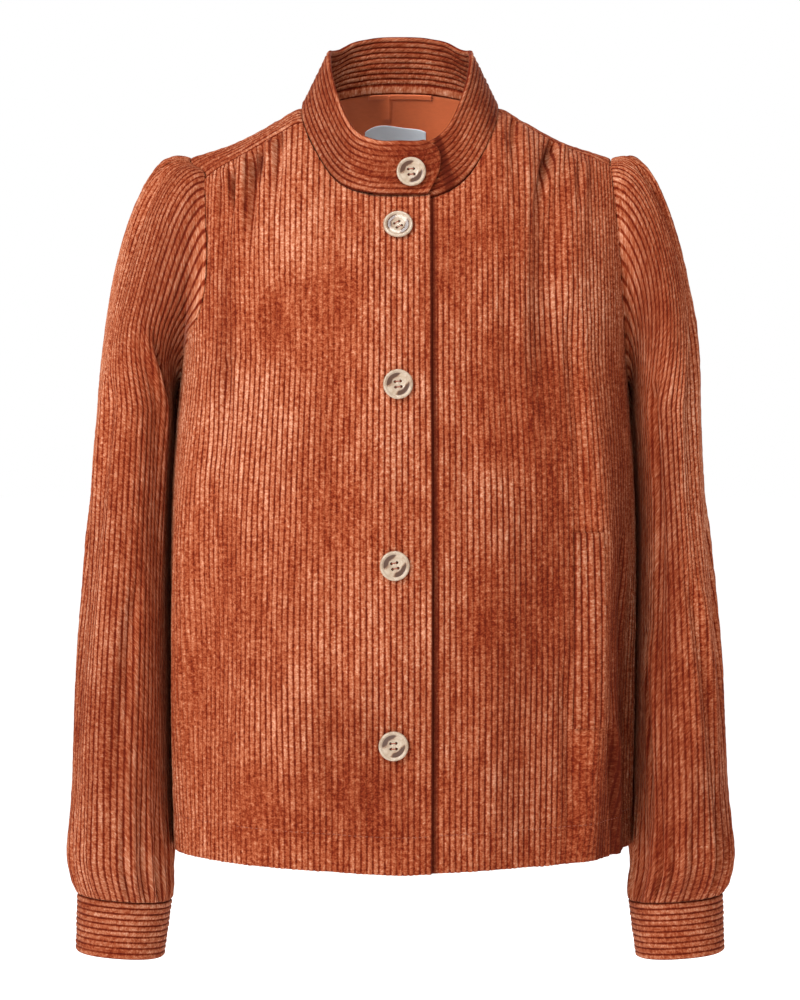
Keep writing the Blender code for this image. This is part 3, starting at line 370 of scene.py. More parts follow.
def fold_depth(face, arc, climb):
    depth = 0
    for fold in FOLDS[face]:
        off_arc = (arc - fold.arc - fold.lean * (climb - fold.climb)) / fold.half_arc
        depth = depth + fold.depth * bump(off_arc) * bump((climb - fold.climb) / fold.half_climb)
    return depth


def lifted(surface, a, b, lift, flip=1, step=NORMAL_STEP):
    """Points of a surface moved out along its normal."""
    along_a = surface(a + step, b) - surface(a - step, b)
    along_b = surface(a, b + step) - surface(a, b - step)
    normal = flip * np.cross(along_a, along_b)
    normal /= np.linalg.norm(normal, axis=-1, keepdims=True)
    return surface(a, b) + normal * np.asarray(lift)[..., None]


def body_cloth(face, arc, climb, lift):
    """Points of the front's or back's cloth: the smooth body with its folds, moved out."""
    inside = climb - NORMAL_DIP
    sewn = smoothstep(top_climb(face, arc) - climb, 0, FOLD_FADE)
    depth = fold_depth(face, arc, climb) * sewn + lift
    moved = lifted(lambda a, b: body(face, a, b), arc, inside, depth, -FACES[face])
    return body(face, arc, climb) + moved - body(face, arc, inside)


def overlap_lift(arc):
    """How far the upper front, the wearer's right, rises over the lower one, and the collar's end with it."""
    return OVERLAP_LIFT * smoothstep(arc, -OVERLAP - OVERLAP_EASE, -OVERLAP - OVERLAP_CLEAR)


def row_climb(face, arc, share):
    """The climb of a row of the panels at a share of the way from the hem to the top edge."""
    hem = hem_climb(face, arc)
    return hem + (top_climb(face, arc) - SEAM_GAP - hem) * share


def hem_climb(face, arc):
    along = np.abs(arc) / by_side(arc, lambda side: SIDE_ARC[side, face])
    return HEM + HEM_LIFT[face] + HEM_RISE[face] * along


# ---------------------------------------------------------------- shoulder yokes
def surface_at(x, y):
    """A point of the shoulder arch from its X and Y."""
    face_points = []
    for face in FACES:
        arcs = [arc_at_x(face, side, x) for side in SIDES]
        side_points = [body(face, arc, climb_at_y(face, arc, y)) for arc in arcs]
        face_points.append(np.where((x < 0)[..., None], *side_points))
    return np.where((y < RIDGE_Y)[..., None], *face_points)


def yoke_xy(side, along, across):
    """X and Y on a yoke: along runs from neck to armhole, and across from its front seam to its back seam."""
    yoke = YOKES[side]
    front = yoke.front_neck + (yoke.front_arm - yoke.front_neck) * along + SEAM_GAP
    back = yoke.back_neck + (yoke.back_arm - yoke.back_neck) * along - SEAM_GAP
    y = front + (back - front) * across
    neck_end = neck_x(yoke.front_neck + (yoke.back_neck - yoke.front_neck) * across) + YOKE_NECK_GAP
    edge = np.where(across < 0.5, yoke.arm_front, yoke.arm_back)
    arm_end = edge + (yoke.arm_ridge - edge) * bump(2 * across - 1)
    return side * (neck_end + (arm_end - neck_end) * along), y


def yoke_surface(side):
    def surface(along, across):
        return surface_at(*yoke_xy(side, along, across))

    return surface


# ---------------------------------------------------------------- sleeves
FINE = 480  # steps of curves that are read between their points


def lengths_along(points):
    """How far along a line of points each one lies."""
    return np.concatenate([[0], np.cumsum(np.linalg.norm(np.diff(points, axis=0), axis=1))])


def armhole_loop(side):
    """The armhole's edge, evenly spaced from the underarm up the front, over the yoke and down the back."""
    edges = {}
    for face in FACES:
        arc = side * np.linspace(SIDE_ARC[side, face], abs(ARMHOLE_START[face, side][0]), FINE)
        edges[face] = body(face, arc, climb_at_height(face, arc, armhole_height(face, side, arc)))
    across = np.linspace(0, 1, FINE)
    over_yoke = surface_at(*yoke_xy(side, np.ones_like(across), across))
    points = np.concatenate([edges["front"], over_yoke, edges["back"][::-1]])
    length = lengths_along(points)
    place = np.linspace(0, length[-1], FINE + 1)
    return np.stack([np.interp(place, length, points[:, k]) for k in range(3)], axis=-1)


SLEEVE_READ = {name: smooth_curve(SLEEVE_RINGS, "height", name) for name in Ring._fields[1:]}
SLEEVE_HEAD = SLEEVE_RINGS[-1].height
WRIST = SLEEVE_RINGS[0].height
MIDDLE_RING = (0.033, 0.067)  # half width and half depth of the ring along which the wales are spaced


def ring_angles():
    """Angles round the sleeve, from its underarm seam by the front, evenly spaced along a middle ring."""
    angle = np.linspace(0, 2 * math.pi, FINE + 1)
    length = lengths_along(np.stack(ring_xy(angle, *MIDDLE_RING), axis=-1))
    return np.interp(np.linspace(0, length[-1], FINE + 1), length, angle)


def ring_xy(angle, half_width, half_depth):
    power = 2 / SLEEVE_ROUNDNESS
    x = -half_width * np.sign(np.cos(angle)) * np.abs(np.cos(angle)) ** power
    y = -half_depth * np.sign(np.sin(angle)) * np.abs(np.sin(angle)) ** power
    return x, y


def sleeve_ring(side, angle, height, read):
    """Points of a ring of the sleeve or cuff below the armhole."""
    size = {name: read[name](height) for name in Ring._fields[1:]}
    inner = size[f"inner_{SIDES[side]}"]
    x, y = ring_xy(angle, (size["outer"] - inner) / 2, size["half_depth"])
    middle = (size["outer"] + inner) / 2
    return np.stack([side * (middle + x), size["middle_y"] + y, height + x * np.tan(size["tilt"])], axis=-1)


def sleeve_surface(side):
    """Reads points of a sleeve at (share round it, drop)."""
    loop = armhole_loop(side)
    angles = ring_angles()
    even = np.linspace(0, 1, FINE + 1)
    out, forward, up = np.array([side, 0.0, 0.0]), np.array([0.0, -1.0, 0.0]), np.array([0.0, 0.0, 1.0])

    def surface(share, drop):
        share, drop = np.broadcast_arrays(np.asarray(share, float), np.asarray(drop, float))
        turn = share - CAP_SKEW * np.sin(4 * math.pi * share) / (4 * math.pi)
        edge = np.stack([np.interp(turn, even, loop[:, k]) for k in range(3)], axis=-1)
        angle = np.interp(share, even, angles)
        top = np.sin(math.pi * share)[..., None] ** 2
        front = np.sin(2 * math.pi * share)[..., None]

        start = edge + out * (HEAD_CLEAR.base + HEAD_CLEAR.at_top * top)
        leave = start + out * (HEAD_OUT.base + HEAD_OUT.at_top * top)
        leave = leave + up * HEAD_UP * top**3 + forward * HEAD_FORWARD * front
        end = sleeve_ring(side, angle, np.full(angle.shape, SLEEVE_HEAD), SLEEVE_READ)
        arrive = end + up * (HEAD_DOWN.base + HEAD_DOWN.at_top * top) - out * HEAD_IN * top
        t = np.clip(drop, 0, 1)[..., None]
        head = start * (1 - t) ** 3 + 3 * leave * t * (1 - t) ** 2 + 3 * arrive * t**2 * (1 - t) + end * t**3

        height = SLEEVE_HEAD + (WRIST - SLEEVE_HEAD) * np.clip(drop - 1, 0, 1)
        arm = sleeve_ring(side, angle, height, SLEEVE_READ)
        return np.where((drop <= 1)[..., None], head, arm)

    return surface


# ---------------------------------------------------------------- collar
def ring_point(turn, half_width, middle_y, front, back):
    """X and Y on a ring of the neck, at a turn from the centre front; the wearer's right is negative."""
    power = 2 / NECK_ROUNDNESS
    x = half_width * np.sign(np.sin(turn)) * np.abs(np.sin(turn)) ** power
    radius = np.where(np.cos(turn) > 0, front, back)
    return x, middle_y - radius * np.sign(np.cos(turn)) * np.abs(np.cos(turn)) ** power


def neck_lengths():
    """Turns round the neck seam, closely spaced, and the length of the seam from centre front to each."""
    turn = np.linspace(-2.5 * math.pi, 0.5 * math.pi, 12 * FINE + 1)
    length = lengths_along(np.stack(ring_point(turn, *NECK_SEAM), axis=-1))
    return turn, length - np.interp(0, turn, length)


NECK_TURNS, NECK_LENGTHS = neck_lengths()
NECK_ROUND = -float(np.interp(-2 * math.pi, NECK_TURNS, NECK_LENGTHS))


def collar_surface(length, rise):
    """The collar at a length round the neck seam, from 0 at the seam to 1 at the top edge."""
    length, rise = np.broadcast_arrays(np.asarray(length, float), np.asarray(rise, float))
    turn = np.interp(length, NECK_LENGTHS, NECK_TURNS)
    x, y = ring_point(turn, *NECK_SEAM)
    foot = surface_at(x, y)
    body_top = lifted(surface_at, x, y, np.full(x.shape, CLOTH / 2 + RIB))
    foot[..., 2] = np.maximum(foot[..., 2], body_top[..., 2]) + SEAM_GAP + COLLAR_SAG
    foot = foot + overlap_lift(length)[..., None] * OVER_THE_CHEST
    quarters = np.abs(np.arctan2(np.sin(turn), np.cos(turn))) / (math.pi / 2)
    height = smooth_curve(COLLAR_RISE, "turn", "rise")(quarters)
    x, y = ring_point(turn, *COLLAR_TOP)
    top = np.stack([x, y - overlap_lift(length), foot[..., 2] + height], axis=-1)
    return foot + (top - foot) * rise[..., None]


collar_tab = smooth_curve(COLLAR_TAB, "rise", "length")


# ---------------------------------------------------------------- cloth detail
WALE_SHAPE = ((0.0, 0.0), (0.10, 0.50), (0.28, 0.93), (0.50, 1.0), (0.72, 0.93), (0.90, 0.50))
WALE_SHAPE_COARSE = ((0.0, 0.0), (0.18, 0.80), (0.50, 1.0), (0.82, 0.80))
RIB_FULL = 0.0010  # height of an uncrushed rib
TUFT = 0.00016  # unevenness of the pile
CRUSH = 0.48  # share of a rib's height that a fully crushed nap takes away
FOLD_ROLL = 0.0016  # radius of a folded edge
FOLD_LEAST = 0.12  # share of the wall that is left at its very edge
SEAM_ROLL = 0.0022  # how far from a seam the cloth starts to turn in
SEAM_EDGE = 0.45  # share of the wall that is left at a seam
ALLOWANCE = 0.0026  # how far a wall's inner side runs on under its neighbour at a seam
ALLOWANCE_DROP = 0.0006
HEM_DEPTH = 0.030  # of its turning, up to its stitches
HEM_EXTRA = 0.0012  # thickness that the turning adds inside
HEM_PULL, HEM_PULL_HALF = 0.0005, 0.0022  # how deep and how far up and down the stitches draw the pile in
STITCH_PITCH = 0.0042
HEM_STITCH, BUTTON_STITCH = (0.0030, 0.0006), (0.0050, 0.0009)  # length and thickness
SCALLOP = 0.0010  # how far each rib stands out under the hem's edge
EDGE_STEPS = np.array([0.0, 0.0003, 0.0009, 0.0019, 0.0034])  # rows close to an edge


def noise(u, v, seed):
    """Soft noise from -1 to 1 over a grid of places, its features about 1 apart."""
    lattice = np.random.default_rng(seed).uniform(-1, 1, (64, 64))
    iu, iv = np.floor(u).astype(int), np.floor(v).astype(int)
    fu, fv = u - iu, v - iv
    fu, fv = fu * fu * (3 - 2 * fu), fv * fv * (3 - 2 * fv)

    def at(a, b):
        return lattice[(iu + a) % 64, (iv + b) % 64]

    low = at(0, 0) * (1 - fu) + at(1, 0) * fu
    high = at(0, 1) * (1 - fu) + at(1, 1) * fu
    return low * (1 - fv) + high * fv


def wale_columns(wales, shape=WALE_SHAPE):
    """Wale counts of a grid's columns and how high the rib is at each, from 0 to 1."""
    place = [k + offset for k in range(wales) for offset, _ in shape] + [wales]
    height = [h for _, h in shape] * wales + [0.0]
    return np.array(place), np.array(height)


def edge_rows(length, count, last=EDGE_STEPS):
    """Distances from the start of a piece of a given length, closer together at its ends."""
    middle = np.linspace(EDGE_STEPS[-1], length - last[-1], count)[1:-1]
    return np.concatenate([EDGE_STEPS, middle, length - last[::-1]])


def roll(distance, radius):
    """How much of a wall's thickness is there at a distance from a rounded edge."""
    into = 1 - np.clip(distance / radius, 0, 1)
    return np.sqrt(1 - into * into)


def walls(height, seam=None, fold=None, extra_inside=0.0):
    """Lifts of a piece's outer and inner side. height is its ribs; seam and fold are distances to such edges."""
    at_seam = 1 if seam is None else SEAM_EDGE + (1 - SEAM_EDGE) * roll(seam, SEAM_ROLL)
    at_fold = 1 if fold is None else np.maximum(roll(fold, FOLD_ROLL), FOLD_LEAST)
    outer = (-CLOTH / 2 + (CLOTH + height) * at_seam) * at_fold
    return outer, -(CLOTH / 2 + extra_inside) * at_fold


def pile(height, places, nap, seed):
    """Heights of the ribs over the groove, lower where the nap is crushed, with the unevenness of the pile."""
    u, v = places
    lumps = noise(u * 1.1, v * 0.9, seed) + 0.6 * noise(u * 2.3, v * 2.1, seed + 1)
    return height * RIB_FULL * (1 - CRUSH * nap) * (1 + 0.10 * lumps) + TUFT * lumps * (0.4 + height)


def crushed(u, v, seed):
    """Where the nap is crushed flat, from 0 to 1."""
    soft = noise(u / 11, v / 17, seed) + 0.55 * noise(u / 4.3, v / 6.1, seed + 5)
    soft = soft + 0.30 * noise(u / 1.7, v / 2.9, seed + 9)
    return np.clip(0.34 + 0.46 * soft, 0, 1)


# A crease: a groove with a roll beside it. It runs from top to foot, moving by bow on its way; off it, the
# side with the roll is soft times as wide as the other, and a negative width puts it on the other side
Crease = namedtuple("Crease", "place top foot bow width soft depth")
# Painted shade: a place where the pile's colour is darkened to stand in for shade, or lightened as a painted
# highlight when amount is below 0
Shade = namedtuple("Shade", "place middle half_width half_length amount")


def creased(creases, place, height):
    lift = np.zeros(np.broadcast(place, height).shape)
    for crease in creases:
        down = (crease.top - height) / (crease.top - crease.foot)
        off = (place - crease.place - crease.bow * (1 - (1 - np.clip(down, 0, 1)) ** 2)) / crease.width
        off = np.where(off > 0, off / crease.soft, off)
        along = smoothstep(down, -0.05, 0.10) * (1 - smoothstep(down, 0.20, 1.0))
        lift -= 1.25 * crease.depth * (bump(off) - 0.55 * bump(off - 1.1)) * along
    return lift


def shaded(shades, place, height):
    total = np.zeros(np.broadcast(place, height).shape)
    for shade in shades:
        off = np.hypot((place - shade.place) / shade.half_width, (height - shade.middle) / shade.half_length)
        total += shade.amount * bump(off)
    return total


def wale_map(middle, u, seed):
    """Wale counts and lengths along the cloth, in wales, for a grid of points; seed keeps pieces different."""
    step = np.linalg.norm(np.diff(middle, axis=0), axis=-1)
    v = np.concatenate([np.zeros((1, middle.shape[1])), np.cumsum(step, axis=0)]) / WALE
    return np.broadcast_to(u, v.shape), v + seed * 7.0


def area_of(points):
    a = points[1:, 1:] - points[:-1, :-1]
    b = points[1:, :-1] - points[:-1, 1:]
    return float(np.linalg.norm(np.cross(a, b), axis=-1).sum() / 2)


# ---------------------------------------------------------------- meshes
def put(name, data):
    """An object of its own in the scene."""
    made = bpy.data.objects.new(name, data)
    bpy.context.scene.collection.objects.link(made)
    return made


def finished(name, points, faces, looks, face_looks=None, uv=None, **values):
    """A smooth mesh object. uv holds a place for each corner of each face, and values one number a point."""
    mesh = bpy.data.meshes.new(name)
    mesh.from_pydata(np.asarray(points, float).tolist(), [], faces)
    for look in looks:
        mesh.materials.append(look)
    if face_looks is not None:
        mesh.polygons.foreach_set("material_index", np.asarray(face_looks, np.int32))
    if uv is not None:
        mesh.uv_layers.new(name="wales").data.foreach_set("uv", np.asarray(uv, np.float32).ravel())
    for label, numbers in values.items():
        mesh.attributes.new(label, "FLOAT", "POINT").data.foreach_set("value", np.asarray(numbers, np.float32))
    shape = bmesh.new()
    shape.from_mesh(mesh)
    bmesh.ops.recalc_face_normals(shape, faces=shape.faces)
    shape.to_mesh(mesh)
    shape.free()
    mesh.polygons.foreach_set("use_smooth", np.ones(len(mesh.polygons), bool))
    mesh.update()
    return put(name, mesh)


def rim(outer, inner, over):
    """Triangles between a row of outer point numbers and a coarser row of inner ones that lie under over."""
    faces = []
    o = i = 0
    while o < len(outer) - 1 or i < len(inner) - 1:
        if i == len(inner) - 1 or (o < len(outer) - 1 and o < (over[i] + over[i + 1]) / 2):
            faces.append((outer[o], outer[o + 1], inner[i]))
            o += 1
        else:
            faces.append((outer[o], inner[i + 1], inner[i]))
            i += 1
    return faces


def shell(name, outer, inner, places, nap, looks, over=None, tube=None, shade=0.0):
    """A closed shell of cloth between an outer grid of points and an inner one with fewer columns.

    places holds the wale map of the outer grid, and over the outer column over each inner one. A tube's last
    row or column repeats its first.
    """
    rows, columns = outer.shape[:2]
    over = np.arange(columns) if over is None else np.asarray(over)
    few = len(over)
    real_rows, real_columns = rows - (tube == "rows"), columns - (tube == "columns")
    real_few = few - (tube == "columns")
    outside = np.arange(rows)[:, None] % real_rows * real_columns + np.arange(columns) % real_columns
    inside = np.arange(rows)[:, None] % real_rows * real_few + np.arange(few) % real_few
    inside = inside + real_rows * real_columns
    uv_outside = np.arange(rows * columns).reshape(rows, columns)
    uv_inside = rows * columns + np.arange(rows * few).reshape(rows, few)

    def quads(grid, turned):
        corners = [grid[:-1, :-1], grid[:-1, 1:], grid[1:, 1:], grid[1:, :-1]]
        return np.stack(corners[::-1] if turned else corners, axis=-1).reshape(-1, 4).tolist()

    faces = quads(outside, False) + quads(inside, True)
    uv_faces = quads(uv_outside, False) + quads(uv_inside, True)
    face_looks = [0] * (rows - 1) * (columns - 1) + [1] * (rows - 1) * (few - 1)
    if tube != "columns":
        for j, k in ((0, 0), (columns - 1, few - 1)):
            for out, inn, made in ((outside, inside, faces), (uv_outside, uv_inside, uv_faces)):
                sides = np.stack([out[:-1, j], out[1:, j], inn[1:, k], inn[:-1, k]], axis=-1)
                made += (sides if j else sides[:, ::-1]).tolist()
    if tube != "rows":
        for i in (0, rows - 1):
            for out, inn, made in ((outside, inside, faces), (uv_outside, uv_inside, uv_faces)):
                made += rim(out[i].tolist(), inn[i].tolist(), over)
    face_looks += [0] * (len(faces) - len(face_looks))
    points = np.concatenate(
        [outer[:real_rows, :real_columns].reshape(-1, 3), inner[:real_rows, :real_few].reshape(-1, 3)]
    )
    u, v = places
    places_all = np.concatenate(
        [np.stack([u, v], axis=-1).reshape(-1, 2), np.stack([u[:, over], v[:, over]], axis=-1).reshape(-1, 2)]
    )

    def both(grid):
        return np.concatenate([grid[:real_rows, :real_columns].ravel(), grid[:real_rows, over[:real_few]].ravel()])

    uv = places_all[np.concatenate([np.asarray(f) for f in uv_faces])]
    shade = np.broadcast_to(shade, (rows, columns))
    return finished(name, points, faces, looks, face_looks, uv, nap=both(nap), shade=both(shade))


# ---------------------------------------------------------------- materials
def add(tree, kind, inputs=(), **settings):
    """A new node with some of its settings and inputs, which are values or the sockets that feed them."""
    made = tree.nodes.new(kind)
    for name, value in settings.items():
        setattr(made, name, value)
    for key, value in dict(inputs).items():
        if isinstance(value, bpy.types.NodeSocket):
            tree.links.new(value, made.inputs[key])
        else:
            made.inputs[key].default_value = value
    return made


def calc(tree, operation, *values):
    return add(tree, "ShaderNodeMath", enumerate(values), operation=operation).outputs[0]


def span(tree, value, low, high, out_low=0.0, out_high=1.0, smooth=True):
    kind = "SMOOTHSTEP" if smooth else "LINEAR"
    inputs = {"Value": value, "From Min": low, "From Max": high, "To Min": out_low, "To Max": out_high}
    return add(tree, "ShaderNodeMapRange", inputs, interpolation_type=kind).outputs[0]


def grain(tree, u, v, scale_u, scale_v, detail=1.0, shift=0.0):
    """Noise from 0 to 1 over the wale map, so many features to a wale across and along."""
    across = calc(tree, "MULTIPLY_ADD", u, scale_u, shift)
    along = calc(tree, "MULTIPLY", v, scale_v)
    vector = add(tree, "ShaderNodeCombineXYZ", {0: across, 1: along, 2: shift}).outputs[0]
    inputs = {"Vector": vector, "Scale": 1.0, "Detail": detail, "Roughness": 0.55}
    return add(tree, "ShaderNodeTexNoise", inputs, noise_dimensions="3D").outputs[0]


def mix_value(tree, factor, a, b):
    return add(tree, "ShaderNodeMix", {0: factor, 2: a, 3: b}, data_type="FLOAT").outputs[0]


def group(name, inputs, outputs):
    """A shader group over the wale map, with numbers as its other sockets, and its two counts of wales."""
    tree = bpy.data.node_groups.new(name, "ShaderNodeTree")
    tree.interface.new_socket("Wales", in_out="INPUT", socket_type="NodeSocketVector")
    for way, labels in (("INPUT", inputs), ("OUTPUT", outputs)):
        for label in labels:
            tree.interface.new_socket(label, in_out=way, socket_type="NodeSocketFloat")
    got, out = tree.nodes.new("NodeGroupInput"), tree.nodes.new("NodeGroupOutput")
    place = add(tree, "ShaderNodeSeparateXYZ", {0: got.outputs["Wales"]})
    return tree, got.outputs, out.inputs, *place.outputs[:2]


def more(tree, value, weight, source):
    """A value and a share of how far a source from 0 to 1 is from its middle."""
    return calc(tree, "MULTIPLY_ADD", calc(tree, "SUBTRACT", source, 0.5), weight, value)


def colours(tree, value, stops):
    """A colour ramp; stops are (place, red, green, blue)."""
    ramp = add(tree, "ShaderNodeValToRGB", {0: value})
    elements = ramp.color_ramp.elements
    while len(elements) < len(stops):
        elements.new(0.5)
    for element, (place, *colour) in zip(elements, stops):
        element.position = place
        element.color = (*colour, 1.0)
    return ramp.outputs[0]


def pile_group():
    """The corduroy's pile: grooves between the wales, tufts on them and the nap's crushed places, with painted sheen
    on the crests, painted shade in the grooves and painted shade from the Shade input.
    """
    tree, got, out, u, v = group("corduroy_pile", ("Crushed", "Shade"), ("Tone", "Height", "Roughness"))
    crushed_here = got["Crushed"]
    wander = grain(tree, u, v, 0.9, 1.1, 1.0, 3.0)
    u_wander = calc(tree, "MULTIPLY_ADD", wander, 0.16, calc(tree, "SUBTRACT", u, 0.08))
    wave = calc(tree, "COSINE", calc(tree, "MULTIPLY", u_wander, 2 * math.pi))
    rib = calc(tree, "MULTIPLY_ADD", wave, -0.5, 0.5)
    crest = span(tree, rib, 0.03, 0.42)
    tufts = grain(tree, u, v, 1.25, 1.5, 1.5, 11.0)
    specks = grain(tree, u, v, 3.2, 3.8, 2.0, 23.0)
    streaks = grain(tree, u, v, 1.0, 0.16, 1.0, 37.0)
    mottle = grain(tree, u, v, 0.30, 0.24, 2.0, 51.0)
    patches = grain(tree, u, v, 0.085, 0.055, 2.0, 67.0)
    # Painted sheen and shade: crests take lighter tones and grooves darker ones; where the nap is crushed the two
    # draw together and the crests darken
    filled = mix_value(tree, calc(tree, "MULTIPLY", crushed_here, 0.62), crest, 0.44)
    tone = calc(tree, "MULTIPLY_ADD", filled, 0.50, 0.10)
    tone = calc(tree, "MULTIPLY_ADD", calc(tree, "MULTIPLY", crushed_here, crest), -0.10, tone)
    # Painted shade: the Shade input lowers the tone
    tone = calc(tree, "MULTIPLY_ADD", got["Shade"], -0.20, tone)
    for source, weight in ((tufts, 0.90), (specks, 0.95), (streaks, 0.60), (mottle, 0.24), (patches, 0.10)):
        tone = more(tree, tone, weight, source)
    tree.links.new(tone, out["Tone"])
    height = calc(tree, "MULTIPLY_ADD", tufts, 0.65, calc(tree, "MULTIPLY", specks, 0.50))
    tree.links.new(calc(tree, "MULTIPLY_ADD", crest, 0.5, height), out["Height"])
    tree.links.new(span(tree, specks, 0.2, 0.8, 0.98, 0.80), out["Roughness"])
    return tree


def blank_material(name, **constants):
    made = bpy.data.materials.new(name)
    made.use_nodes = True
    shader = made.node_tree.nodes["Principled BSDF"]
    for key, value in constants.items():
        shader.inputs[key.replace("_", " ").title()].default_value = value
    return made, made.node_tree, shader


def wale_places(tree):
    return add(tree, "ShaderNodeUVMap", uv_map="wales").outputs[0]


def raised(tree, shader, height, strength, distance):
    """Gives a material its fine relief."""
    relief = add(tree, "ShaderNodeBump", {"Strength": strength, "Distance": distance, "Height": height})
    tree.links.new(relief.outputs[0], shader.inputs["Normal"])


PILE = pile_group()
# Tones from the grooves, darkened as painted shade, to the crests and brightest tufts, lightened as painted sheen, as
# (place, red, green, blue)
CORDUROY_TONES = (
    (0.00, 0.100, 0.0070, 0.0010), (0.20, 0.174, 0.0208, 0.0042), (0.42, 0.281, 0.0595, 0.0205),
    (0.62, 0.393, 0.1260, 0.0600), (0.90, 0.585, 0.2730, 0.1700),
)
PAINTED_SHADE = (0.060, 0.0060, 0.0010)  # the painted shade colour that a shade of 1 comes near


def corduroy_material():
    made, tree, shader = blank_material("corduroy_wide_wale", sheen_weight=0.07, sheen_roughness=0.45)
    shader.inputs["Sheen Tint"].default_value = (1.0, 0.50, 0.30, 1.0)
    shader.inputs["Specular IOR Level"].default_value = 0.10
    places = wale_places(tree)
    nap, shade = (add(tree, "ShaderNodeAttribute", attribute_name=name).outputs["Fac"] for name in ("nap", "shade"))
    pile_here = add(tree, "ShaderNodeGroup", node_tree=PILE)
    for source, socket in ((places, "Wales"), (nap, "Crushed"), (shade, "Shade")):
        tree.links.new(source, pile_here.inputs[socket])
    lit = colours(tree, pile_here.outputs["Tone"], CORDUROY_TONES)
    # Painted shade: the shade attribute mixes the colour towards the painted shade colour
    darker = span(tree, shade, 0.0, 1.0, 0.0, 0.72, False)
    mixed = add(tree, "ShaderNodeMix", {0: darker, 6: lit, 7: (*PAINTED_SHADE, 1.0)}, data_type="RGBA")
    tree.links.new(mixed.outputs[2], shader.inputs["Base Color"])
    tree.links.new(pile_here.outputs["Roughness"], shader.inputs["Roughness"])
    raised(tree, shader, pile_here.outputs["Height"], 0.55, 0.0006)
    return made


def weave_group():
    """A fine plain weave: threads over and under, with slubs."""
    tree, got, out, u, v = group("plain_weave", ("Threads",), ("Tone", "Height"))
    turns = [calc(tree, "MULTIPLY", calc(tree, "MULTIPLY", at, got["Threads"]), 2 * math.pi) for at in (u, v)]
    over = calc(tree, "MULTIPLY", *(calc(tree, "SINE", turn) for turn in turns))
    slubs = grain(tree, u, v, 0.8, 1.9, 2.0, 5.0)
    soft = grain(tree, u, v, 0.07, 0.09, 2.0, 9.0)
    tone = more(tree, calc(tree, "MULTIPLY_ADD", over, 0.10, 0.5), 0.5, slubs)
    tree.links.new(more(tree, tone, 0.45, soft), out["Tone"])
    tree.links.new(calc(tree, "MULTIPLY_ADD", over, 0.5, slubs), out["Height"])
    return tree


WEAVE = weave_group()


def woven_material(name, tones, threads, roughness, sheen):
    made, tree, shader = blank_material(name, roughness=roughness, sheen_weight=sheen)
    places = wale_places(tree)
    weave = add(tree, "ShaderNodeGroup", node_tree=WEAVE)
    weave.inputs["Threads"].default_value = threads
    tree.links.new(places, weave.inputs["Wales"])
    tree.links.new(colours(tree, weave.outputs["Tone"], tones), shader.inputs["Base Color"])
    raised(tree, shader, weave.outputs["Height"], 0.30, 0.0003)
    return made


def horn_material():
    """Pale horn with marbling, and painted shade in two dark arcs of a ring inside the rim."""
    made, tree, shader = blank_material("marbled_horn", roughness=0.36, coat_weight=0.12)
    place = add(tree, "ShaderNodeUVMap", uv_map="face").outputs[0]
    radius = add(tree, "ShaderNodeVectorMath", {0: place}, operation="LENGTH").outputs["Value"]
    swirl = {"Vector": place, "Scale": 1.5, "Detail": 3.0, "Distortion": 0.8}
    marble = add(tree, "ShaderNodeTexNoise", swirl).outputs[0]
    fine = add(tree, "ShaderNodeTexNoise", {"Vector": place, "Scale": 14.0, "Detail": 2.0}).outputs[0]
    ring = calc(tree, "MULTIPLY", span(tree, radius, 0.46, 0.66), span(tree, radius, 0.98, 0.88))
    # Painted shade: two dark arcs in the ring inside the rim, at the upper left and lower right of the face, their
    # edges broken by the marbling
    lean = add(tree, "ShaderNodeVectorMath", {0: place, 1: (-0.62, 0.78, 0.0)}, operation="DOT_PRODUCT")
    across = calc(tree, "ABSOLUTE", lean.outputs["Value"])
    arcs = span(tree, calc(tree, "ADD", across, calc(tree, "MULTIPLY", marble, 0.5)), 0.58, 0.98)
    arc_shade = calc(tree, "MULTIPLY", ring, calc(tree, "MULTIPLY", arcs, 0.80))
    tone = more(tree, calc(tree, "SUBTRACT", 0.55, arc_shade), 0.25, fine)
    tone = more(tree, tone, -0.60, marble)
    stops = (
        (0.08, 0.070, 0.030, 0.016), (0.28, 0.200, 0.105, 0.060), (0.50, 0.330, 0.235, 0.160),
        (0.70, 0.470, 0.380, 0.290), (0.92, 0.570, 0.490, 0.400),
    )
    tree.links.new(colours(tree, tone, stops), shader.inputs["Base Color"])
    return made


def thread_material():
    made, tree, shader = blank_material("sewing_thread", roughness=0.7, sheen_weight=0.1)
    place = add(tree, "ShaderNodeTexCoord").outputs["Object"]
    twist = add(tree, "ShaderNodeTexNoise", {"Vector": place, "Scale": 1800.0, "Detail": 1.0}).outputs[0]
    stops = ((0.3, 0.130, 0.018, 0.005), (0.5, 0.230, 0.040, 0.013), (0.7, 0.340, 0.075, 0.028))
    tree.links.new(colours(tree, twist, stops), shader.inputs["Base Color"])
    return made


CORDUROY_LOOK = corduroy_material()
INSIDE_LOOK = woven_material(
    "corduroy_back",
    ((0.2, 0.130, 0.026, 0.010), (0.5, 0.240, 0.056, 0.022), (0.8, 0.330, 0.090, 0.040)), 3.0, 0.9, 0.1,
)
LINING_LOOK = woven_material(
    "smooth_lining",
    ((0.2, 0.72, 0.145, 0.040), (0.5, 0.80, 0.170, 0.048), (0.8, 0.86, 0.190, 0.058)), 9.0, 0.5, 0.2,
)
LABEL_LOOK = woven_material(
    "woven_label", ((0.2, 0.74, 0.83, 0.92), (0.5, 0.81, 0.89, 0.96), (0.8, 0.86, 0.93, 0.98)), 8.0, 0.6, 0.1
)
THREAD_LOOK = thread_material()
HORN_LOOK = horn_material()
CLOTH_LOOKS = (CORDUROY_LOOK, INSIDE_LOOK)


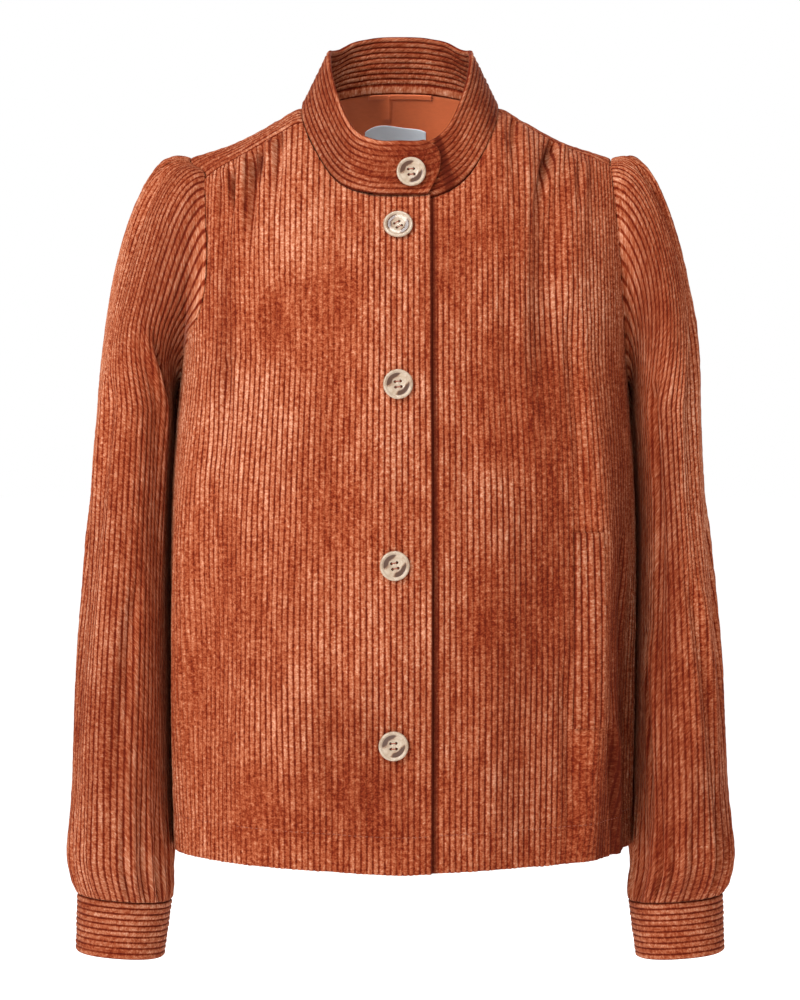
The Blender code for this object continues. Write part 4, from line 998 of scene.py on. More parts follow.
def cloth(node, grids, places, nap, middle, width, held, rests_on, slot="corduroy", looks=CLOTH_LOOKS, **extra):
    """A piece of cloth for a node, made as a shell that takes the place of the node's solid. Its length and area are
    read from the grid of points through the middle of its wall.
    """
    piece = shell(f"{node}_cloth", *grids, places, nap, looks, **extra)
    length = float(np.linalg.norm(np.diff(middle, axis=0), axis=-1).sum(axis=0).max())
    area = min(area_of(middle), width * length)
    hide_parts(node)
    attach(piece, "root")


# ---------------------------------------------------------------- fronts and back
CREASES = {}  # by face; places are lengths round the body from its centre line
CREASES["front"] = table(
    Crease,
    (-0.103, -0.01, -0.085, 0.0, -0.0042, 2.0, 0.0042), (-0.1265, -0.03, -0.135, 0.0, -0.0042, 2.2, 0.0056),
    (-0.119, -0.024, -0.066, 0.002, 0.0055, 1.4, 0.0032), (-0.146, -0.044, -0.1, 0.001, -0.0038, 2.0, 0.004),
    (-0.159, -0.05, -0.13, 0.0, -0.0034, 1.8, 0.0018), (-0.088, -0.004, -0.05, 0.001, -0.004, 1.6, 0.0014),
    (-0.098, -0.14, -0.215, -0.018, 0.01, 1.5, 0.0018), (-0.15, -0.2, -0.27, 0.006, 0.006, 1.8, 0.0022),
    (-0.11, -0.33, -0.56, 0.004, 0.012, 1.3, 0.0016), (-0.05, -0.43, -0.61, -0.006, 0.012, 1.4, 0.0014),
    (0.134, -0.016, -0.11, -0.021, 0.0052, 1.9, 0.006), (0.0965, -0.002, -0.05, -0.002, 0.0038, 1.8, 0.0026),
    (0.156, -0.038, -0.09, -0.004, 0.004, 1.7, 0.0022), (0.085, -0.15, -0.3, 0.006, 0.009, 1.5, 0.0014),
    (0.142, -0.16, -0.33, 0.004, 0.009, 1.5, 0.002), (0.05, -0.25, -0.43, 0.008, 0.012, 1.5, 0.0012),
    (0.13, -0.44, -0.63, 0.01, 0.01, 1.5, 0.002), (0.176, -0.49, -0.66, 0.014, 0.0062, 1.7, 0.0046),
    (0.198, -0.34, -0.6, 0.006, 0.008, 1.5, 0.003),
)
CREASES["back"] = table(
    Crease,
    (-0.11, -0.03, -0.12, 0.002, -0.0045, 1.9, 0.003), (-0.14, -0.045, -0.11, 0.0, -0.0045, 1.9, 0.0024),
    (0.115, -0.034, -0.13, -0.004, 0.005, 1.9, 0.0034), (0.145, -0.05, -0.115, -0.002, 0.0045, 1.8, 0.0022),
    (-0.06, -0.18, -0.4, 0.008, 0.011, 1.5, 0.0018), (0.05, -0.24, -0.47, -0.01, 0.012, 1.4, 0.0016),
    (-0.13, -0.36, -0.61, 0.012, 0.01, 1.6, 0.0026), (0.15, -0.4, -0.64, 0.01, 0.009, 1.6, 0.0028),
    (0.01, -0.44, -0.64, -0.004, 0.012, 1.4, 0.0016),
)
# Painted shade on the front and back: dark along the lower front's edge under the upper front, in and beside the
# tucks under the yokes, down the side turned from the light and over the lower front; amounts below 0 are painted
# highlights where the light falls
SHADES = {}
SHADES["front"] = table(
    Shade,
    (0.027, -0.36, 0.0034, 0.72, 1.5), (-0.085, -0.12, 0.06, 0.17, -0.3), (0.118, -0.19, 0.03, 0.12, 0.3),
    (-0.185, -0.46, 0.028, 0.3, -0.25), (-0.15, -0.16, 0.022, 0.11, 0.3), (-0.122, -0.044, 0.01, 0.02, 1.15),
    (-0.147, -0.062, 0.006, 0.022, 1.0), (-0.104, -0.168, 0.02, 0.04, 0.3), (-0.101, -0.022, 0.006, 0.012, 0.8),
    (0.07, -0.5, 0.12, 0.28, 0.22), (-0.04, -0.53, 0.06, 0.11, 0.25), (0.126, -0.036, 0.011, 0.03, 0.55),
    (0.2, -0.52, 0.042, 0.33, 1.05), (0.19, -0.26, 0.03, 0.2, 0.35), (0.11, -0.42, 0.07, 0.3, 0.22),
    (0.06, -0.2, 0.07, 0.2, 0.1), (0.168, -0.6, 0.012, 0.09, 0.6), (-0.05, -0.66, 0.2, 0.024, 0.35),
    (0.12, -0.66, 0.12, 0.024, 0.35),
)
SHADES["back"] = table(
    Shade,
    (-0.09, -0.13, 0.06, 0.14, -0.3), (0.13, -0.5, 0.05, 0.26, 0.35), (-0.15, -0.42, 0.04, 0.26, 0.3),
    (0.02, -0.3, 0.06, 0.2, 0.2),
)
CRUSHED_PLACES = table(  # where the nap is crushed more
    Shade,
    (-0.19, -0.44, 0.03, 0.3, 0.6), (-0.06, -0.15, 0.03, 0.05, 0.5), (-0.104, -0.17, 0.026, 0.045, 0.55),
    (-0.03, -0.54, 0.03, 0.05, 0.45), (-0.12, -0.56, 0.036, 0.06, 0.5), (0.06, -0.4, 0.032, 0.06, 0.5),
    (0.12, -0.25, 0.026, 0.08, 0.5), (0.15, -0.56, 0.034, 0.11, 0.6), (0.09, -0.61, 0.03, 0.04, 0.45),
    (0.04, -0.13, 0.022, 0.06, 0.4),
)


# Where the wales lean: they move by reach over half a height, at places on the front
Slant = namedtuple("Slant", "place middle half_width half_height reach")
FRONT_SLANTS = table(
    Slant,
    (0.19, -0.4, 0.03, 0.09, 0.011), (0.192, -0.56, 0.03, 0.09, 0.011), (0.15, -0.59, 0.026, 0.06, 0.006),
    (-0.158, -0.235, 0.024, 0.06, -0.005), (-0.12, -0.36, 0.06, 0.26, 0.006), (0.12, -0.13, 0.03, 0.08, 0.004),
)


def slanted(face, arc, climb):
    """How far the front's wales are moved sideways where the cloth lies askew."""
    moved = np.zeros(arc.shape)
    for slant in FRONT_SLANTS if face == "front" else ():
        up = (climb - slant.middle) / slant.half_height
        moved += slant.reach * up * bump(up) * bump((arc - slant.place) / slant.half_width)
    return moved


BODY_ROWS = 150
WANDER = 0.0016  # sideways, of the wales


def body_piece(node, start, end, seed, edges, rests_on, lift=np.zeros_like, shape=WALE_SHAPE):
    """A front or back. edges says whether it has a "seam" or a "fold" at its start and end."""
    face = node.split("_")[0]
    wales = round((end - start) / WALE)
    u, height = wale_columns(wales, shape)
    arc = start + (end - start) * u / wales
    hem, top = hem_climb(face, arc), top_climb(face, arc) - SEAM_GAP
    share = np.linspace(0, 1, BODY_ROWS)[1:-1, None]
    near, far = EDGE_STEPS[:, None], EDGE_STEPS[::-1, None]
    inner_low, inner_high = hem + EDGE_STEPS[-1], top - EDGE_STEPS[-1]
    climb = np.concatenate([hem + near, inner_low + (inner_high - inner_low) * share, top - far])
    arcs = np.broadcast_to(arc, climb.shape)
    wander = noise(arcs / 0.045 + 9, climb / 0.11, seed + 2) * bump(2 * (arcs - start) / (end - start) - 1)
    arcs = arcs + WANDER * wander + slanted(face, arcs, climb)
    extra = lift(arcs)
    height_here = body_cloth(face, arcs, climb, extra)[..., 2]
    sewn = smoothstep(top - climb, 0, 0.006)
    extra = extra + sewn * creased(CREASES[face], arcs, height_here)
    middle = body_cloth(face, arcs, climb, extra)
    places = wale_map(middle, u, seed)
    nap = np.clip(crushed(*places, seed) + shaded(CRUSHED_PLACES, arcs, height_here), 0, 1)
    # Painted shade: random tone from the noise of the pile, plus the painted shade and highlights of SHADES
    tone_and_shade = noise(arcs / 0.030, climb / 0.070, seed + 4) + 0.6 * noise(arcs / 0.009 + 3, climb / 0.040, seed + 6)
    shade = 0.08 * tone_and_shade + shaded(SHADES[face], arcs, height_here)
    from_top, from_hem = top - climb, climb - hem
    near_edge = {"seam": [from_top], "fold": [from_hem]}
    near_edge[edges[0]].append(arcs - start)
    near_edge[edges[1]].append(end - arcs)
    ribs_here = pile(height, places, nap, seed)
    in_hem = HEM_EXTRA * (1 - smoothstep(from_hem, HEM_DEPTH - 0.001, HEM_DEPTH + 0.001))
    ribs_here = ribs_here - HEM_PULL * bump((from_hem - HEM_DEPTH) / HEM_PULL_HALF)
    seam, fold = (np.minimum.reduce(near_edge[kind]) for kind in ("seam", "fold"))
    outer_lift, inner_lift = walls(ribs_here, seam, fold, in_hem)
    over = list(range(0, len(u), len(shape)))
    scallop = SCALLOP * (ribs_here / RIB_FULL - 0.5) * (1 - smoothstep(from_hem, 0, 0.0030))
    outer = body_cloth(face, arcs, climb - scallop, outer_lift + extra)
    run_on = smoothstep(-from_top, -EDGE_STEPS[-1], 0)[:, over]
    under, low_under = climb[:, over] + ALLOWANCE * run_on, (inner_lift + extra)[:, over] - ALLOWANCE_DROP * run_on
    arcs_under = arcs[:, over].copy()
    for column, edge, way in zip((0, -1), edges, (-1, 1)):
        if edge == "seam":
            arcs_under[:, column] += way * SIDE_GAP
    inner = body_cloth(face, arcs_under, under, low_under)
    cloth(node, (outer, inner), places, nap, middle, end - start, "hung", rests_on, over=over, shade=shade)


def body_pieces():
    right, left = ({face: SIDE_ARC[side, face] - SIDE_GAP for face in FACES} for side in (RIGHT, LEFT))
    body_piece("front_right", -right["front"], OVERLAP, 11, ("seam", "fold"), ["yoke_right"], overlap_lift)
    body_piece("front_left", -OVERLAP, left["front"], 23, ("fold", "seam"), ["yoke_left"])
    both = ["yoke_right", "yoke_left"]
    body_piece("back", -right["back"], left["back"], 37, ("seam", "seam"), both, shape=WALE_SHAPE_COARSE)


# ---------------------------------------------------------------- yokes
YOKE_LENGTH = 0.1  # about, for the spacing of its rows


def yoke_pieces():
    for side, seed in ((RIGHT, 41), (LEFT, 43)):
        wales = YOKE_WALES[side]
        u, height = wale_columns(wales)
        along, across = np.meshgrid(edge_rows(YOKE_LENGTH, 90) / YOKE_LENGTH, u / wales, indexing="ij")
        surface = yoke_surface(side)
        middle = surface(along, across)
        places = wale_map(middle, u, seed)
        nap = crushed(*places, seed)
        wide = wales * WALE
        seam = np.minimum(np.minimum(along, 1 - along) * YOKE_LENGTH, np.minimum(across, 1 - across) * wide)
        outer_lift, inner_lift = walls(pile(height, places, nap, seed), seam)
        inner_lift = np.broadcast_to(inner_lift, across.shape)
        over = list(range(0, len(u), 6))
        outer = lifted(surface, along, across, outer_lift, side)
        inner = lifted(surface, along[:, over], across[:, over], inner_lift[:, over], side)
        node = f"yoke_{SIDES[side]}"
        # shade: an even painted shade over the whole yoke
        cloth(node, (outer, inner), places, nap, middle, wide, "stretched", [], over=over, shade=0.20)


# ---------------------------------------------------------------- sleeves and cuffs
SWEEP = 2.0  # how strongly the wales climb along the armhole towards the top of the head, 0 for not at all
OUTER_REACH, INNER_REACH = 0.0012, 0.0045  # towards the body at the armhole
RIDGE_SHARE, RIDGE_HALF = 0.945, 0.045  # where the sleeve folds softly towards the body's side, and how wide
RIDGE_MOST, RIDGE_CLEAR = 0.0100, 0.0014  # its greatest height and the room it leaves beside the body
WRIST_WAVE, HEAD_WAVE, SOFT_WAVE = 0.0027, 0.0019, 0.0030  # heights of the gathers and of softer waves
HEAD_GATHERS = 22


def swept(share, drop):
    """Wales run up the sleeve beside the armhole and crowd into the gathers at its top."""
    power = 1 + SWEEP * np.clip(1 - drop, 0, 1) ** 1.5
    half = 0.5 * (1 - np.abs(1 - 2 * share) ** power)
    return np.where(share <= 0.5, half, 1 - half)


def gathers(share, drop, seed):
    """Uneven gathers at the wrist and along the top of the head, outwards."""
    uneven = noise(share * 23, drop * 0 + 3.5, seed)
    bigger = noise(share * 9, drop * 2.0, seed + 3)
    wrist = np.cos(2 * math.pi * (GATHERS * share + 0.55 * uneven)) * (0.75 + 0.5 * bigger)
    wrist = WRIST_WAVE * wrist * smoothstep(drop, 1.72, 1.94) * (1 - 0.7 * smoothstep(drop, 1.975, 2.0))
    puff = np.cos(2 * math.pi * (HEAD_GATHERS * share + 0.6 * uneven)) * (0.8 + 0.6 * bigger)
    puff = HEAD_WAVE * puff * bump(2.6 * (share - 0.5)) * bump((drop - 0.20) / 0.22)
    soft = SOFT_WAVE * noise(share * 5 + 7, drop * 2.6, seed + 8) * smoothstep(drop, 0.5, 1.2)
    soft = soft * (1 - smoothstep(drop, 1.75, 1.9)) * smoothstep(np.abs(share - 0.5), 0.5, 0.36)
    return wrist + puff + soft


def meeting_ridge(side, share, drop):
    """A soft ridge down the inner back of the sleeve, close to the body's side."""
    height = SLEEVE_HEAD + (WRIST - SLEEVE_HEAD) * np.clip(drop - 1, 0, 1)
    inner = SLEEVE_READ[f"inner_{SIDES[side]}"](height)
    room = np.clip(inner - HALF_WIDTH[side](height) - RIDGE_CLEAR, 0, RIDGE_MOST)
    along = smoothstep(drop, 0.15, 0.48) * (1 - smoothstep(drop, 1.86, 1.95))
    return room * bump((share - RIDGE_SHARE) / RIDGE_HALF) * along


SLEEVE_CREASES = {  # in shares of the way round and drops
    RIGHT: table(
        Crease,
        (0.135, 0.62, 1.62, -0.055, 0.016, 2.2, 0.0085), (0.3, 0.9, 1.75, 0.04, 0.03, 1.5, 0.003),
        (0.4, 1.2, 1.95, -0.04, 0.028, 1.5, 0.003), (0.215, 1.35, 1.97, 0.03, 0.02, 1.5, 0.0034),
        (0.33, 0.25, 0.85, -0.02, 0.026, 1.5, 0.0026), (0.42, 0.12, 0.6, -0.03, 0.014, 1.6, 0.0026),
        (0.62, 0.8, 1.7, 0.04, 0.03, 1.6, 0.0034), (0.76, 1.0, 1.9, -0.03, 0.026, 1.6, 0.0036),
    ),
    LEFT: table(
        Crease,
        (0.17, 0.85, 1.8, 0.02, 0.022, 1.7, 0.0046), (0.33, 0.7, 1.6, -0.045, 0.032, 1.5, 0.003),
        (0.11, 1.45, 1.97, 0.035, 0.018, 1.8, 0.0046), (0.42, 1.2, 1.95, -0.06, 0.024, 1.5, 0.0034),
        (0.27, 1.35, 1.96, 0.045, 0.022, 1.5, 0.0034), (0.3, 0.2, 0.8, 0.02, 0.024, 1.6, 0.003),
        (0.43, 0.1, 0.55, -0.03, 0.014, 1.6, 0.0026), (0.64, 0.8, 1.75, -0.04, 0.03, 1.6, 0.0034),
        (0.79, 0.95, 1.85, 0.03, 0.026, 1.6, 0.0036),
    ),
}
# Painted shade on the sleeves, at shares of the way round and drops: dark strips where the sleeve meets the body's
# side, a dark crease with a painted highlight on the ridge beside it, and darker sides turned from the light; amounts
# below 0 are painted highlights
SLEEVE_SHADES = {
    RIGHT: table(
        Shade,
        (0.03, 1.3, 0.06, 0.9, 0.8), (0.16, 0.35, 0.24, 0.55, 0.45), (0.112, 0.98, 0.03, 0.46, 1.1),
        (0.165, 0.95, 0.022, 0.4, -0.35), (0.3, 1.75, 0.22, 0.45, 0.3), (0.38, 0.8, 0.08, 0.5, -0.15),
        (0.97, 1.3, 0.12, 0.9, 0.6),
    ),
    LEFT: table(
        Shade,
        (0.03, 1.3, 0.05, 0.9, 0.9), (0.15, 1.6, 0.12, 0.6, 0.18), (0.21, 1.2, 0.07, 0.6, 0.45),
        (0.14, 0.4, 0.2, 0.55, 0.35), (0.28, 1.8, 0.24, 0.4, 0.4), (0.4, 1.2, 0.08, 0.7, -0.3),
        (0.97, 1.3, 0.12, 0.9, 0.6),
    ),
}


# Where the wearer's right sleeve folds forward over the front: how far in its edge lies, at heights
Overfold = namedtuple("Overfold", "height shift")
OVERFOLD = table(
    Overfold,
    (-0.2, 0.0), (-0.18, 0.005), (-0.155, 0.012), (-0.12, 0.011), (-0.08, 0.0045), (-0.05, 0.0),
)
OVERFOLD_CLEAR, OVERFOLD_FALL = 0.0022, 0.012  # the least room over the front, and what is added further down
OVERFOLD_ARC = -0.08  # it reaches no further over the front
FRONT_GRID = (np.linspace(-0.205, -0.095, 56), np.linspace(-0.32, -0.03, 59))  # X and Z


def front_depths():
    """Y of the front's outer side at the places of FRONT_GRID."""
    across, up = FRONT_GRID
    arc = np.linspace(-SIDE_ARC[RIGHT, "front"], OVERFOLD_ARC, 160)
    rows = []
    for height in up:
        points = body_cloth("front", arc, climb_at_height("front", arc, height), np.full(arc.shape, CLOTH / 2 + RIB))
        rows.append(np.interp(across, points[:, 0], points[:, 1]))
    return np.array(rows)


def folded_over(points, share, drop, depths):
    """How far points of the sleeve move where it folds forward over the front."""
    read = smooth_curve(OVERFOLD, "height", "shift")
    height = np.clip(points[..., 2], OVERFOLD[0].height, OVERFOLD[-1].height)
    near = smoothstep(share, 0.03, 0.12) * (1 - smoothstep(share, 0.34, 0.46))
    moved = np.zeros(points.shape)
    moved[..., 0] = np.clip(read(height), 0, 1) * near * (1 - smoothstep(drop, 0.05, 0.95))
    across, up = FRONT_GRID
    i = np.clip((points[..., 0] + moved[..., 0] - across[0]) / (across[1] - across[0]), 0, len(across) - 1.001)
    k = np.clip((height - up[0]) / (up[1] - up[0]), 0, len(up) - 1.001)
    i0, k0 = i.astype(int), k.astype(int)
    part_i, part_k = i - i0, k - k0
    low = depths[k0, i0] * (1 - part_i) + depths[k0, i0 + 1] * part_i
    high = depths[k0 + 1, i0] * (1 - part_i) + depths[k0 + 1, i0 + 1] * part_i
    wanted = low * (1 - part_k) + high * part_k - OVERFOLD_CLEAR - OVERFOLD_FALL * smoothstep(drop, 0.0, 0.4)
    moved[..., 1] = np.minimum(wanted - points[..., 1], 0) * smoothstep(moved[..., 0], 0, 0.003)
    return moved


HEAD_LENGTH, ARM_LENGTH = 0.15, 0.395  # about, for the spacing of the rows


def sleeve_pieces():
    head = edge_rows(HEAD_LENGTH, 62, last=np.zeros(1)) / HEAD_LENGTH
    arm = 1 + (ARM_LENGTH - edge_rows(ARM_LENGTH, 110, last=np.zeros(1))[::-1]) / ARM_LENGTH
    drops = np.concatenate([head, arm[1:]])
    depths = front_depths()
    for side, seed in ((RIGHT, 53), (LEFT, 61)):
        u, height = wale_columns(SLEEVE_WALES, WALE_SHAPE_COARSE)
        drop, column_share = np.meshgrid(drops, u / SLEEVE_WALES, indexing="ij")
        share = swept(column_share, drop)
        surface = sleeve_surface(side)

        def place(share, drop, lift):
            inside = np.clip(drop, NORMAL_INSET, 2 - NORMAL_INSET)
            offset = lifted(surface, share, inside, lift, -side) - surface(share, inside)
            offset[..., 2] *= 1 - smoothstep(drop, 2 - 0.03, 2)
            return surface(share, drop) + offset

        waves = gathers(column_share, drop, seed) + meeting_ridge(side, share, drop)
        waves = waves + creased(SLEEVE_CREASES[side], column_share, drop)
        waves[:, -1] = waves[:, 0]
        middle = place(share, drop, waves)
        # Painted shade: an even shade over the sleeve, random tone from the noise, and the painted shade and
        # highlights of SLEEVE_SHADES
        tone_and_shade = noise(column_share * 9, drop * 3.2, seed + 4) + 0.6 * noise(column_share * 30, drop * 5.5, seed + 6)
        shade = 0.06 + 0.20 * tone_and_shade + shaded(SLEEVE_SHADES[side], column_share, drop)
        shade[:, -1] = shade[:, 0]
        moved = folded_over(surface(share, drop), share, drop, depths) if side == RIGHT else np.zeros(middle.shape)
        middle = middle + moved
        places = wale_map(middle, u, seed)
        nap = 0.75 * crushed(*places, seed)
        nap[:, -1] = nap[:, 0]
        from_head, from_wrist = drop * HEAD_LENGTH, (2 - drop) * ARM_LENGTH
        ribs_here = pile(height, places, nap, seed)
        ribs_here[:, -1] = ribs_here[:, 0]
        outer_lift, inner_lift = walls(ribs_here, np.minimum(from_head, from_wrist))
        inner_lift = np.broadcast_to(inner_lift, share.shape)
        run_on = np.broadcast_to(1 - smoothstep(from_head, 0, EDGE_STEPS[-1]), share.shape)
        over = list(range(0, len(u), 4))
        outer = place(share, drop, outer_lift + waves) + moved
        inner = place(share[:, over], drop[:, over], (inner_lift + waves)[:, over] - ALLOWANCE_DROP * run_on[:, over])
        inner = inner + moved[:, over]
        for grid, reach in ((outer, OUTER_REACH), (inner, INNER_REACH)):
            grid[..., 0] -= side * reach * run_on[:, : grid.shape[1]]
        cloth(
            f"sleeve_{SIDES[side]}", (outer, inner), places, nap, middle, SLEEVE_WALES * WALE, "gathered",
            [f"yoke_{SIDES[side]}"], over=over, tube="columns", shade=shade,
        )


def cuff_pieces():
    read = {name: smooth_curve(CUFF_RINGS, "height", name) for name in Ring._fields[1:]}
    angle = np.linspace(0, 2 * math.pi, 193)
    low, high = CUFF_RINGS[0].height, CUFF_RINGS[1].height
    for side, seed in ((RIGHT, 71), (LEFT, 73)):
        u, height = wale_columns(CUFF_WALES)
        a, h = np.meshgrid(angle, low + (high - low) * u / CUFF_WALES, indexing="ij")

        def place(a, h, lift):
            ring = sleeve_ring(side, a, h, read)
            outwards = ring - sleeve_ring(side, a + math.pi, h, read)
            outwards /= np.linalg.norm(outwards, axis=-1, keepdims=True)
            return ring + outwards * np.asarray(lift)[..., None]

        middle = place(a, h, np.zeros(a.shape))
        places = wale_map(middle, u, seed)
        nap = 0.8 * crushed(*places, seed)
        nap[-1] = nap[0]
        ribs_here = pile(height, places, nap, seed)
        ribs_here[-1] = ribs_here[0]
        outer_lift, inner_lift = walls(ribs_here, high - h, h - low)
        over = list(range(0, len(u), 3))
        outer = place(a, h, outer_lift)
        inner = place(a[:, over], h[:, over], np.broadcast_to(inner_lift, a.shape)[:, over])
        # shade: an even painted shade over the whole cuff
        cloth(
            f"cuff_{SIDES[side]}", (outer, inner), places, nap, middle, CUFF_WALES * WALE, "hung",
            [f"sleeve_{SIDES[side]}"], over=over, tube="rows", shade=0.24,
        )


# ---------------------------------------------------------------- collar
def collar_cut(rise):
    """How far the rounded corner cuts the collar's lower end back."""
    into = np.maximum(0.0, (rise - 1) * COLLAR_RISE[0].rise + COLLAR_CORNER)
    return COLLAR_CORNER - np.sqrt(np.maximum(COLLAR_CORNER**2 - into**2, 0.0))


COLLAR_STEP = 0.0016  # as NORMAL_STEP, wider to smooth the collar's sides
FOOT_OUTER, FOOT_INNER = 0.020, 0.085  # shares of its height by which its sides run on under the seam
FOOT_IN = 0.0020  # how far its inner side leans in there


def collar_piece():
    seed = 83
    u, height = wale_columns(COLLAR_WALES)
    rise = u / COLLAR_WALES
    round_it = NECK_ROUND + COLLAR_END_LEFT + COLLAR_TAB[3].length
    share, rises = np.meshgrid(edge_rows(round_it, 330) / round_it, rise, indexing="ij")
    start, end = collar_tab(rises), -NECK_ROUND - COLLAR_END_LEFT + collar_cut(rises)
    length = start + (end - start) * share
    middle = collar_surface(length, rises)
    places = wale_map(middle, u, seed)
    at_front = bump((length - 0.004) / 0.062) * bump((rises - 0.50) / 0.62)
    nap = np.clip(0.6 * crushed(*places, seed) + 1.1 * at_front, 0, 1)
    tall = COLLAR_RISE[0].rise
    fold = np.minimum.reduce([share * round_it, (1 - share) * round_it, (1 - rises) * tall])
    ribs_here = pile(height, places, nap, seed)
    outer_lift, _ = walls(ribs_here, rises * tall, fold)
    inner_lift = -(CLOTH / 2 + ribs_here) * np.maximum(roll(fold, FOLD_ROLL), FOLD_LEAST)
    run_on = (1 - smoothstep(rises, 0, 0.12)) * smoothstep(-length, OVERLAP, 2 * OVERLAP)
    inner_lift = inner_lift - FOOT_IN * run_on
    outer, inner = (
        lifted(collar_surface, length, rises - foot * run_on, lift, step=COLLAR_STEP)
        for foot, lift in ((FOOT_OUTER, outer_lift), (FOOT_INNER, inner_lift))
    )
    # Painted shade for the collar: an even shade over it, lighter towards its top edge, darker where the nap is
    # crushed at the front, random tone from the noise, and a painted shadow where its lower end passes under the tab
    tone_and_shade = 0.40 + 0.34 * noise(length / 0.030, rises * 1.8, seed) - 0.25 * smoothstep(rises, 0.85, 1.0)
    tone_and_shade = tone_and_shade + 0.25 * at_front + 1.4 * bump((length + NECK_ROUND - 0.0405) / 0.0055)
    cloth(
        "collar", (outer, inner), places, nap, middle, tall, "stretched", ["yoke_right", "yoke_left"],
        looks=(CORDUROY_LOOK, CORDUROY_LOOK), shade=tone_and_shade,
    )


# ---------------------------------------------------------------- pocket
def pocket_piece():
    seed = 91
    u, height = wale_columns(WELT_WALES)
    arc = WELT_ARC + WELT_WIDTH * (u / WELT_WALES - 0.5)
    climb, arcs = np.meshgrid(WELT_FOOT + edge_rows(WELT_TOP - WELT_FOOT, 90), arc, indexing="ij")
    under = CLOTH / 2 + RIB + SEAM_GAP
    middle = body_cloth("front", arcs, climb, under + WELT_THICK / 2)
    places = wale_map(middle, u, seed)
    nap = 0.5 * crushed(*places, seed)
    fold = np.minimum.reduce([arcs - arc[0], arc[-1] - arcs, climb - WELT_FOOT, WELT_TOP - climb])
    at_fold = np.maximum(roll(fold, 0.0012), 0.15)
    ribs_here = pile(height, places, nap, seed)
    outer = body_cloth("front", arcs, climb, under + (WELT_THICK + ribs_here) * at_fold)
    over = list(range(0, len(u), 3))
    inner = body_cloth("front", arcs[:, over], climb[:, over], np.full((len(climb), len(over)), under))
    # shade: an even painted shade over the whole welt
    cloth(
        "pocket_welt", (outer, inner), places, nap, middle, WELT_WIDTH, "laid", ["front_left"],
        over=over, shade=0.28,
    )


# ---------------------------------------------------------------- inside the back neck
PLEAT_START, PLEAT_END, PLEAT_WIDTH, PLEAT_DEPTH = -0.0175, -0.0084, 0.0090, 0.0024  # of the lining's one pleat


def inside_piece(node, look, slot, half, top, foot, depth, thick, seed, held, on, edge=None, shift=0.0):
    """A piece on the inside of the back, top and foot being shares of the way up to the neck seam."""
    columns, rows = 101, 41
    arc = np.linspace(-half, half, columns) + shift
    low, high = row_climb("back", arc, 0.94), row_climb("back", arc, 1.0)
    share, arcs = np.meshgrid(np.linspace(0, 1, rows), arc, indexing="ij")
    upper = np.full(columns, top) if edge is None else edge((arc - shift) / half)
    climb = low + (high - low) * (foot + (upper - foot) * share)
    pleat = 0.0
    if node == "neck_lining":
        slope = np.clip((arcs - PLEAT_START) / PLEAT_WIDTH, 0, 1) * (arcs < PLEAT_END)
        pleat = PLEAT_DEPTH * slope * smoothstep(climb, low + (high - low) * 0.30, low + (high - low) * 0.42)
    middle = body_cloth("back", arcs, climb, np.full(arcs.shape, -depth - thick / 2))
    places = wale_map(middle, arc / WALE, seed)
    round_edge = np.minimum.reduce([arcs - shift + half, half + shift - arcs, climb - climb[0], climb[-1] - climb])
    at_edge = np.maximum(roll(round_edge, 0.0006), 0.2)
    faces = [
        body_cloth("back", arcs, climb, -depth - thick / 2 + way * thick / 2 * at_edge - pleat)
        for way in (1, -1)
    ]
    cloth(node, faces, places, np.zeros(arcs.shape), middle, 2 * half, held, [on], slot, (look, look))


LINING_FOOT = -0.36  # the lining runs on below its solid
LABEL_SHIFT = -0.0042
LABEL_THICK = 0.0006


def label_edge(x):
    """The label's upper edge: drawn down at its corners, with a soft wave."""
    wave = 0.024 * np.cos(3.6 * (x + 0.42)) - 0.012 * x
    return LABEL_TOP - 0.02 + wave - 0.105 * np.abs(x) ** 4


def neck_inside():
    lining_depth = CLOTH / 2 + SEAM_GAP
    label_depth = lining_depth + LINING + SEAM_GAP
    inside_piece(
        "neck_lining", LINING_LOOK, "lining", LINING_HALF, LINING_TOP, LINING_FOOT, lining_depth, LINING, 101,
        "laid", "back",
    )
    inside_piece(
        "label", LABEL_LOOK, "label", LABEL_HALF, LABEL_TOP, LINING_FOOT + 0.06, label_depth, LABEL_THICK, 103,
        "laid", "neck_lining", label_edge, LABEL_SHIFT,
    )
    inside_piece(
        "hanger_loop", LINING_LOOK, "lining", LOOP_HALF, LOOP_TOP, LOOP_FOOT, label_depth, LOOP_THICK, 107,
        None, "neck_lining",
    )


